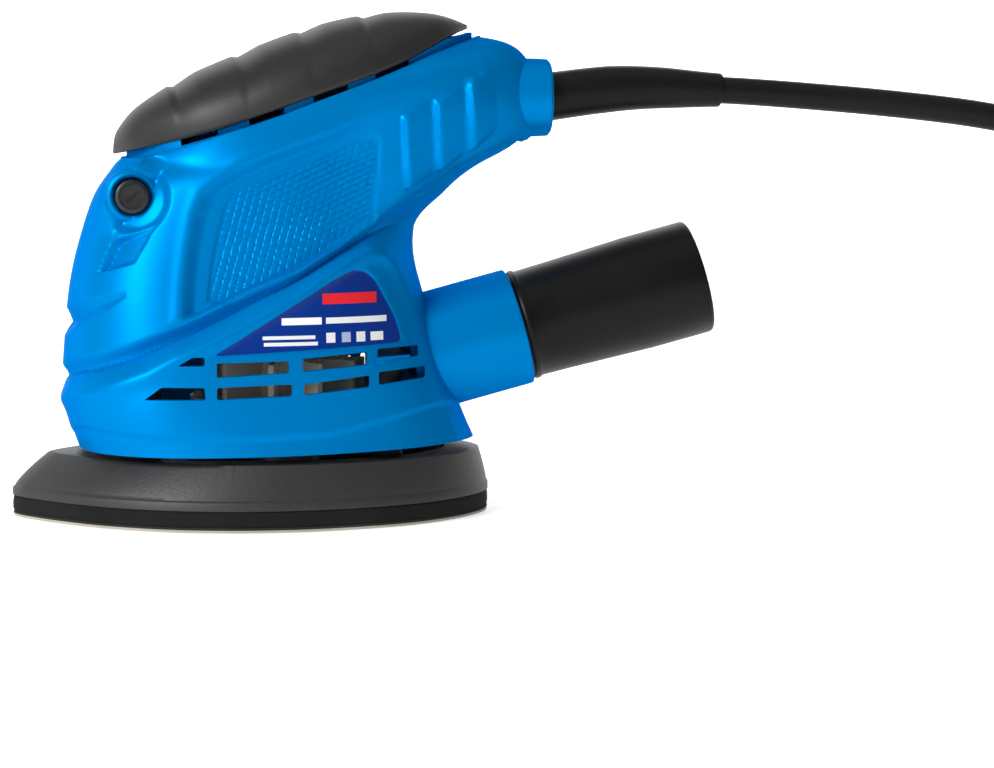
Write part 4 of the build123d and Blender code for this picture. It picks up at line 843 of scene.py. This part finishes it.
def cord_curve():
    curve = bpy.data.curves.new("power_cord", "CURVE")
    curve.dimensions = "3D"
    spline = curve.splines.new("NURBS")
    route = cord_path()
    spline.points.add(len(route) - 1)
    for point, (x, y, z) in zip(spline.points, route):
        point.co = (x * MM, y * MM, z * MM, 1)
    spline.order_u = 3
    spline.use_endpoint_u = True
    curve.bevel_depth = CORD_D / 2 * MM
    curve.bevel_resolution = 6
    curve.resolution_u = 6
    curve.use_fill_caps = True
    return link(bpy.data.objects.new("power_cord", curve))


def tube(name, stations, inner=None, segments=64):
    """Solid along x, z stations with a radius at each, hollow if inner is given."""
    line = np.array(stations, float)
    dense = np.linspace(line[0, 0], line[-1, 0], 70)
    dense = np.unique(np.concatenate([dense, line[:, 0]]))
    z = natural_spline(line[:, 0], line[:, 1], dense)
    r = np.interp(dense, line[:, 0], line[:, 2])
    rings = []
    for shells, flip in ((r, 1),) if inner is None else ((r, 1), (np.full(len(r), inner), -1)):
        order = range(len(dense)) if flip == 1 else range(len(dense) - 1, -1, -1)
        for k in order:
            slope = np.gradient(z, dense)[k]
            t = np.array((1, 0, slope)) / np.hypot(1, slope)
            up = np.array((-t[2], 0, t[0]))
            a = np.linspace(0, 2 * pi, segments, endpoint=False)
            rings.append(np.array((dense[k], 0, z[k])) + shells[k]
                         * (np.cos(a)[:, None] * up + np.sin(a)[:, None] * np.array((0, 1, 0))))
    rings = np.array(rings)
    n, m, _ = rings.shape
    index = np.arange(n * m).reshape(n, m)
    wrap = np.roll(index, -1, 1)
    faces = [tuple(f) for f in np.stack([index[:-1], wrap[:-1], wrap[1:], index[1:]],
                                        -1).reshape(-1, 4)]
    if inner is None:
        faces += [tuple(index[0][::-1]), tuple(index[-1])]
    else:
        faces += [tuple(f) for f in np.stack([index[-1], wrap[-1], wrap[0], index[0]],
                                             -1).reshape(-1, 4)]
    return weld(mesh_object(name, rings.reshape(-1, 3), faces))


def boot_mesh():
    return tube("cord_boot", BOOT, 4.25)


# ---------------------------------------------------------------- dust outlet
def outlet_meshes():
    spigot = lathe("outlet_spigot", [(-34, 15.2), (-34, 17.4), (-0.8, 17.4), (-0.25, 17.2),
                                     (0, 16.7), (0, 15.6), (-0.4, 15.2)], SPIGOT_END, AXIS, 128)
    adapter = lathe("hose_adapter", [(-18, 13.2), (-18, 15.1), (-0.2, 15.1), (0.7, 15.3),
                                     (0.75, 16.2), (1.2, 16.5), (2.1, 16.5), (2.5, 16.2),
                                     (2.9, 16.0), (12, 16.2), (35.9, 17.0), (36.5, 17.05),
                                     (54.7, 17.05), (55.5, 16.8), (55.9, 16.3), (55.9, 15.3),
                                     (55.6, 15.0), (25.9, 15.0), (25.4, 13.2)],
                    SPIGOT_END, AXIS, 128)
    return spigot, adapter


# ---------------------------------------------------------------- materials of the pieces
GRIP_RUBBER = moulded("soft_grip", (0.010, 0.010, 0.010), (0.018, 0.018, 0.018), 0.46,
                      grain=0.5, grain_size=0.5, specular=0.40)
BLACK = moulded("black_plastic", (0.005, 0.005, 0.005), (0.009, 0.009, 0.009), 0.33, grain=0.25,
                specular=0.5)
ADAPTER_BLACK = moulded("adapter_plastic", (0.003, 0.003, 0.003), (0.006, 0.006, 0.006), 0.36,
                        grain=0.3, grain_size=0.7, specular=0.16)
PLATEN_BLACK = moulded("platen_plastic", (0.012, 0.012, 0.012), (0.022, 0.022, 0.022), 0.5,
                       grain=0.9, grain_size=0.9, specular=0.5)
FOAM = moulded("foam", (0.004, 0.004, 0.004), (0.014, 0.014, 0.014), 0.85, grain=1.0,
               grain_size=1.4, specular=0.15)
HOOKS = moulded("hook_fabric", (0.012, 0.012, 0.012), (0.04, 0.04, 0.04), 0.9, grain=1.0,
                grain_size=0.6, specular=0.1)
ABRASIVE = moulded("abrasive", (0.30, 0.27, 0.23), (0.48, 0.44, 0.38), 0.85, grain=1.0,
                   grain_size=0.5, specular=0.2)
CORD_BLACK = moulded("cord_rubber", (0.004, 0.004, 0.004), (0.007, 0.007, 0.007), 0.38,
                     grain=0.2, specular=0.14)
STEEL = moulded("steel", (0.48, 0.48, 0.48), (0.58, 0.58, 0.58), 0.30, grain=0.15, metallic=1.0)
DARK_STEEL = moulded("dark_steel", (0.20, 0.20, 0.20), (0.30, 0.30, 0.30), 0.38, grain=0.2,
                     metallic=1.0)
BRASS = moulded("brass", (0.62, 0.44, 0.17), (0.75, 0.55, 0.24), 0.28, grain=0.1, metallic=1.0)
COPPER = moulded("copper", (0.60, 0.25, 0.12), (0.75, 0.35, 0.17), 0.32, grain=0.4,
                 grain_size=0.8, metallic=1.0)
CREAM = moulded("cream_plastic", (0.78, 0.75, 0.62), (0.86, 0.83, 0.70), 0.42, grain=0.3)
GREY = moulded("grey_plastic", (0.22, 0.23, 0.23), (0.32, 0.33, 0.33), 0.5, grain=0.3)
BOARD = moulded("board", (0.30, 0.22, 0.11), (0.40, 0.30, 0.16), 0.5, grain=0.3)
CASE = moulded("capacitor_case", (0.05, 0.16, 0.32), (0.07, 0.20, 0.38), 0.35, grain=0.1)
LEADS = moulded("lead_insulation", (0.012, 0.012, 0.013), (0.20, 0.06, 0.02), 0.4, grain=0.2)
POST_RUBBER = moulded("post_rubber", (0.018, 0.018, 0.018), (0.03, 0.03, 0.03), 0.6, grain=0.4)
FERRITE = moulded("ferrite", (0.04, 0.04, 0.042), (0.07, 0.07, 0.072), 0.55, grain=0.4)
CARBON = moulded("carbon", (0.02, 0.02, 0.02), (0.035, 0.035, 0.035), 0.6, grain=0.4)
CAST = moulded("cast_metal", (0.30, 0.30, 0.31), (0.42, 0.42, 0.43), 0.45, grain=0.8,
               grain_size=1.2, metallic=1.0)
LABEL_FILM = moulded("label_print", (0.0, 0.022, 0.19), (0.0, 0.030, 0.24), 0.3, grain=0.1,
                     specular=0.2)
# Plain bars printed on the film: x, z of the middle, width, height, colour.
PRINT = [(18.7, 65.0, 16.0, 3.0, (0.75, 0.02, 0.03)), (4.6, 58.9, 11.5, 2.0, (0.85,) * 3),
         (20.6, 58.9, 18.0, 1.7, (0.80,) * 3), (0.9, 54.4, 15.0, 1.0, (0.75,) * 3),
         (1.4, 52.6, 15.4, 1.0, (0.75,) * 3), (12.9, 54.1, 2.6, 2.8, (0.75,) * 3),
         (17.4, 54.1, 2.6, 2.8, (0.35, 0.42, 0.62)), (21.7, 54.1, 2.6, 2.8, (0.75,) * 3),
         (26.5, 54.1, 3.8, 2.4, (0.80,) * 3)]


def print_bars(material):
    """Rectangles of flat colour over the film's own colour, placed in object space."""
    nodes, links = material.node_tree.nodes, material.node_tree.links
    surface = nodes["Principled BSDF"]
    place = nodes.new("ShaderNodeTexCoord")
    split = nodes.new("ShaderNodeSeparateXYZ")
    links.new(place.outputs["Object"], split.inputs[0])
    colour = surface.inputs["Base Color"].links[0].from_socket
    for x, z, wide, high, paint in PRINT:
        mask = None
        for axis, middle, size in (("X", x, wide), ("Z", z, high)):
            close = nodes.new("ShaderNodeMath")
            close.operation = "COMPARE"
            close.inputs[1].default_value = middle * MM
            close.inputs[2].default_value = size / 2 * MM
            links.new(split.outputs[axis], close.inputs[0])
            if mask is None:
                mask = close
            else:
                both = nodes.new("ShaderNodeMath")
                both.operation = "MULTIPLY"
                links.new(mask.outputs[0], both.inputs[0])
                links.new(close.outputs[0], both.inputs[1])
                mask = both
        mix = nodes.new("ShaderNodeMix")
        mix.data_type = "RGBA"
        mix.inputs["B"].default_value = (*paint, 1)
        links.new(mask.outputs[0], mix.inputs["Factor"])
        links.new(colour, mix.inputs["A"])
        colour = mix.outputs["Result"]
    links.new(colour, surface.inputs["Base Color"])


print_bars(LABEL_FILM)
SLOT_MATERIALS = {
    "blue_shell": BLUE, "grip_rubber": GRIP_RUBBER, "label_film": LABEL_FILM,
    "cord_rubber": CORD_BLACK, "black_plastic": BLACK, "button_plastic": BLACK,
    "grey_plastic": GREY, "cream_plastic": CREAM, "platen_plastic": PLATEN_BLACK, "foam": FOAM,
    "hook_fabric": HOOKS, "abrasive": ABRASIVE, "post_rubber": POST_RUBBER, "steel": STEEL,
    "plated_steel": STEEL, "bearing_steel": STEEL, "laminations": DARK_STEEL,
    "cast_metal": CAST, "brass": BRASS, "copper": COPPER, "carbon": CARBON, "ferrite": FERRITE,
    "board": BOARD, "capacitor_case": CASE, "lead_insulation": LEADS,
}


def button_mesh():
    """Push button with a dished face and a slanted slot, on its bar."""
    button = lathe("push_button", [(-26.9, 0), (-26.9, 4.0), (-26.5, 4.4), (13.5, 4.6),
                                   (13.5, 6.6), (15.0, 6.6), (15.0, 4.65), (29.2, 4.75),
                                   (29.9, 4.6), (30.1, 4.2), (30.1, 3.6), (29.8, 3.3),
                                   (29.7, 0)], (BUTTON[0], 0, BUTTON[1]), (0, -1, 0), 64)
    a = radians(40)
    bar = [(BUTTON[0] + u * cos(a) - v * sin(a), BUTTON[1] + u * sin(a) + v * cos(a))
           for u, v in ((-2.2, -0.32), (2.2, -0.32), (2.2, 0.32), (-2.2, 0.32))]
    return boolean(button, [prism("slot", bar, -40, -29.2)])


# ---------------------------------------------------------------- build
for half_side in (NEAR, FAR):
    near = half_side == NEAR
    put(body_half(half_side), "housing", BLUE,
        ("left_housing",) if near else ("right_housing",), 32)
put(button_mesh(), "switch", BLACK, ("switch_button",), 35)
put(label_patch(), "housing", LABEL_FILM, ("rating_label",), 40)
put(grip_mesh(), "housing", GRIP_RUBBER, ("grip_cover",), 50)
foam, hook, sheet, plate = pad_pieces()
put(foam, "pad", FOAM, ("foam_pad",), 40)
put(hook, "pad", HOOKS, ("hook_sheet",), 40)
put(sheet, "pad", ABRASIVE, ("sanding_sheet",), 40)
put(plate, "pad", PLATEN_BLACK, ("platen",), 40)
spigot, adapter = outlet_meshes()
put(spigot, "housing", BLUE, ("dust_spigot",), 40)
put(adapter, "adapter", ADAPTER_BLACK, ("hose_adapter",), 40)
put(boot_mesh(), "housing", CORD_BLACK, ("cord_guard",), 40)
cord_object = cord_curve()
put(cord_object, "housing", CORD_BLACK, ("cord_lead", "cord_coil", "cord_tail"))
for part in frame["record"]["subparts"]:
    node = frame["nodes"].get(part["node"])
    if node and node.type == "MESH" and part.get("material_slot") in SLOT_MATERIALS:
        node.data.materials.clear()
        node.data.materials.append(SLOT_MATERIALS[part["material_slot"]])
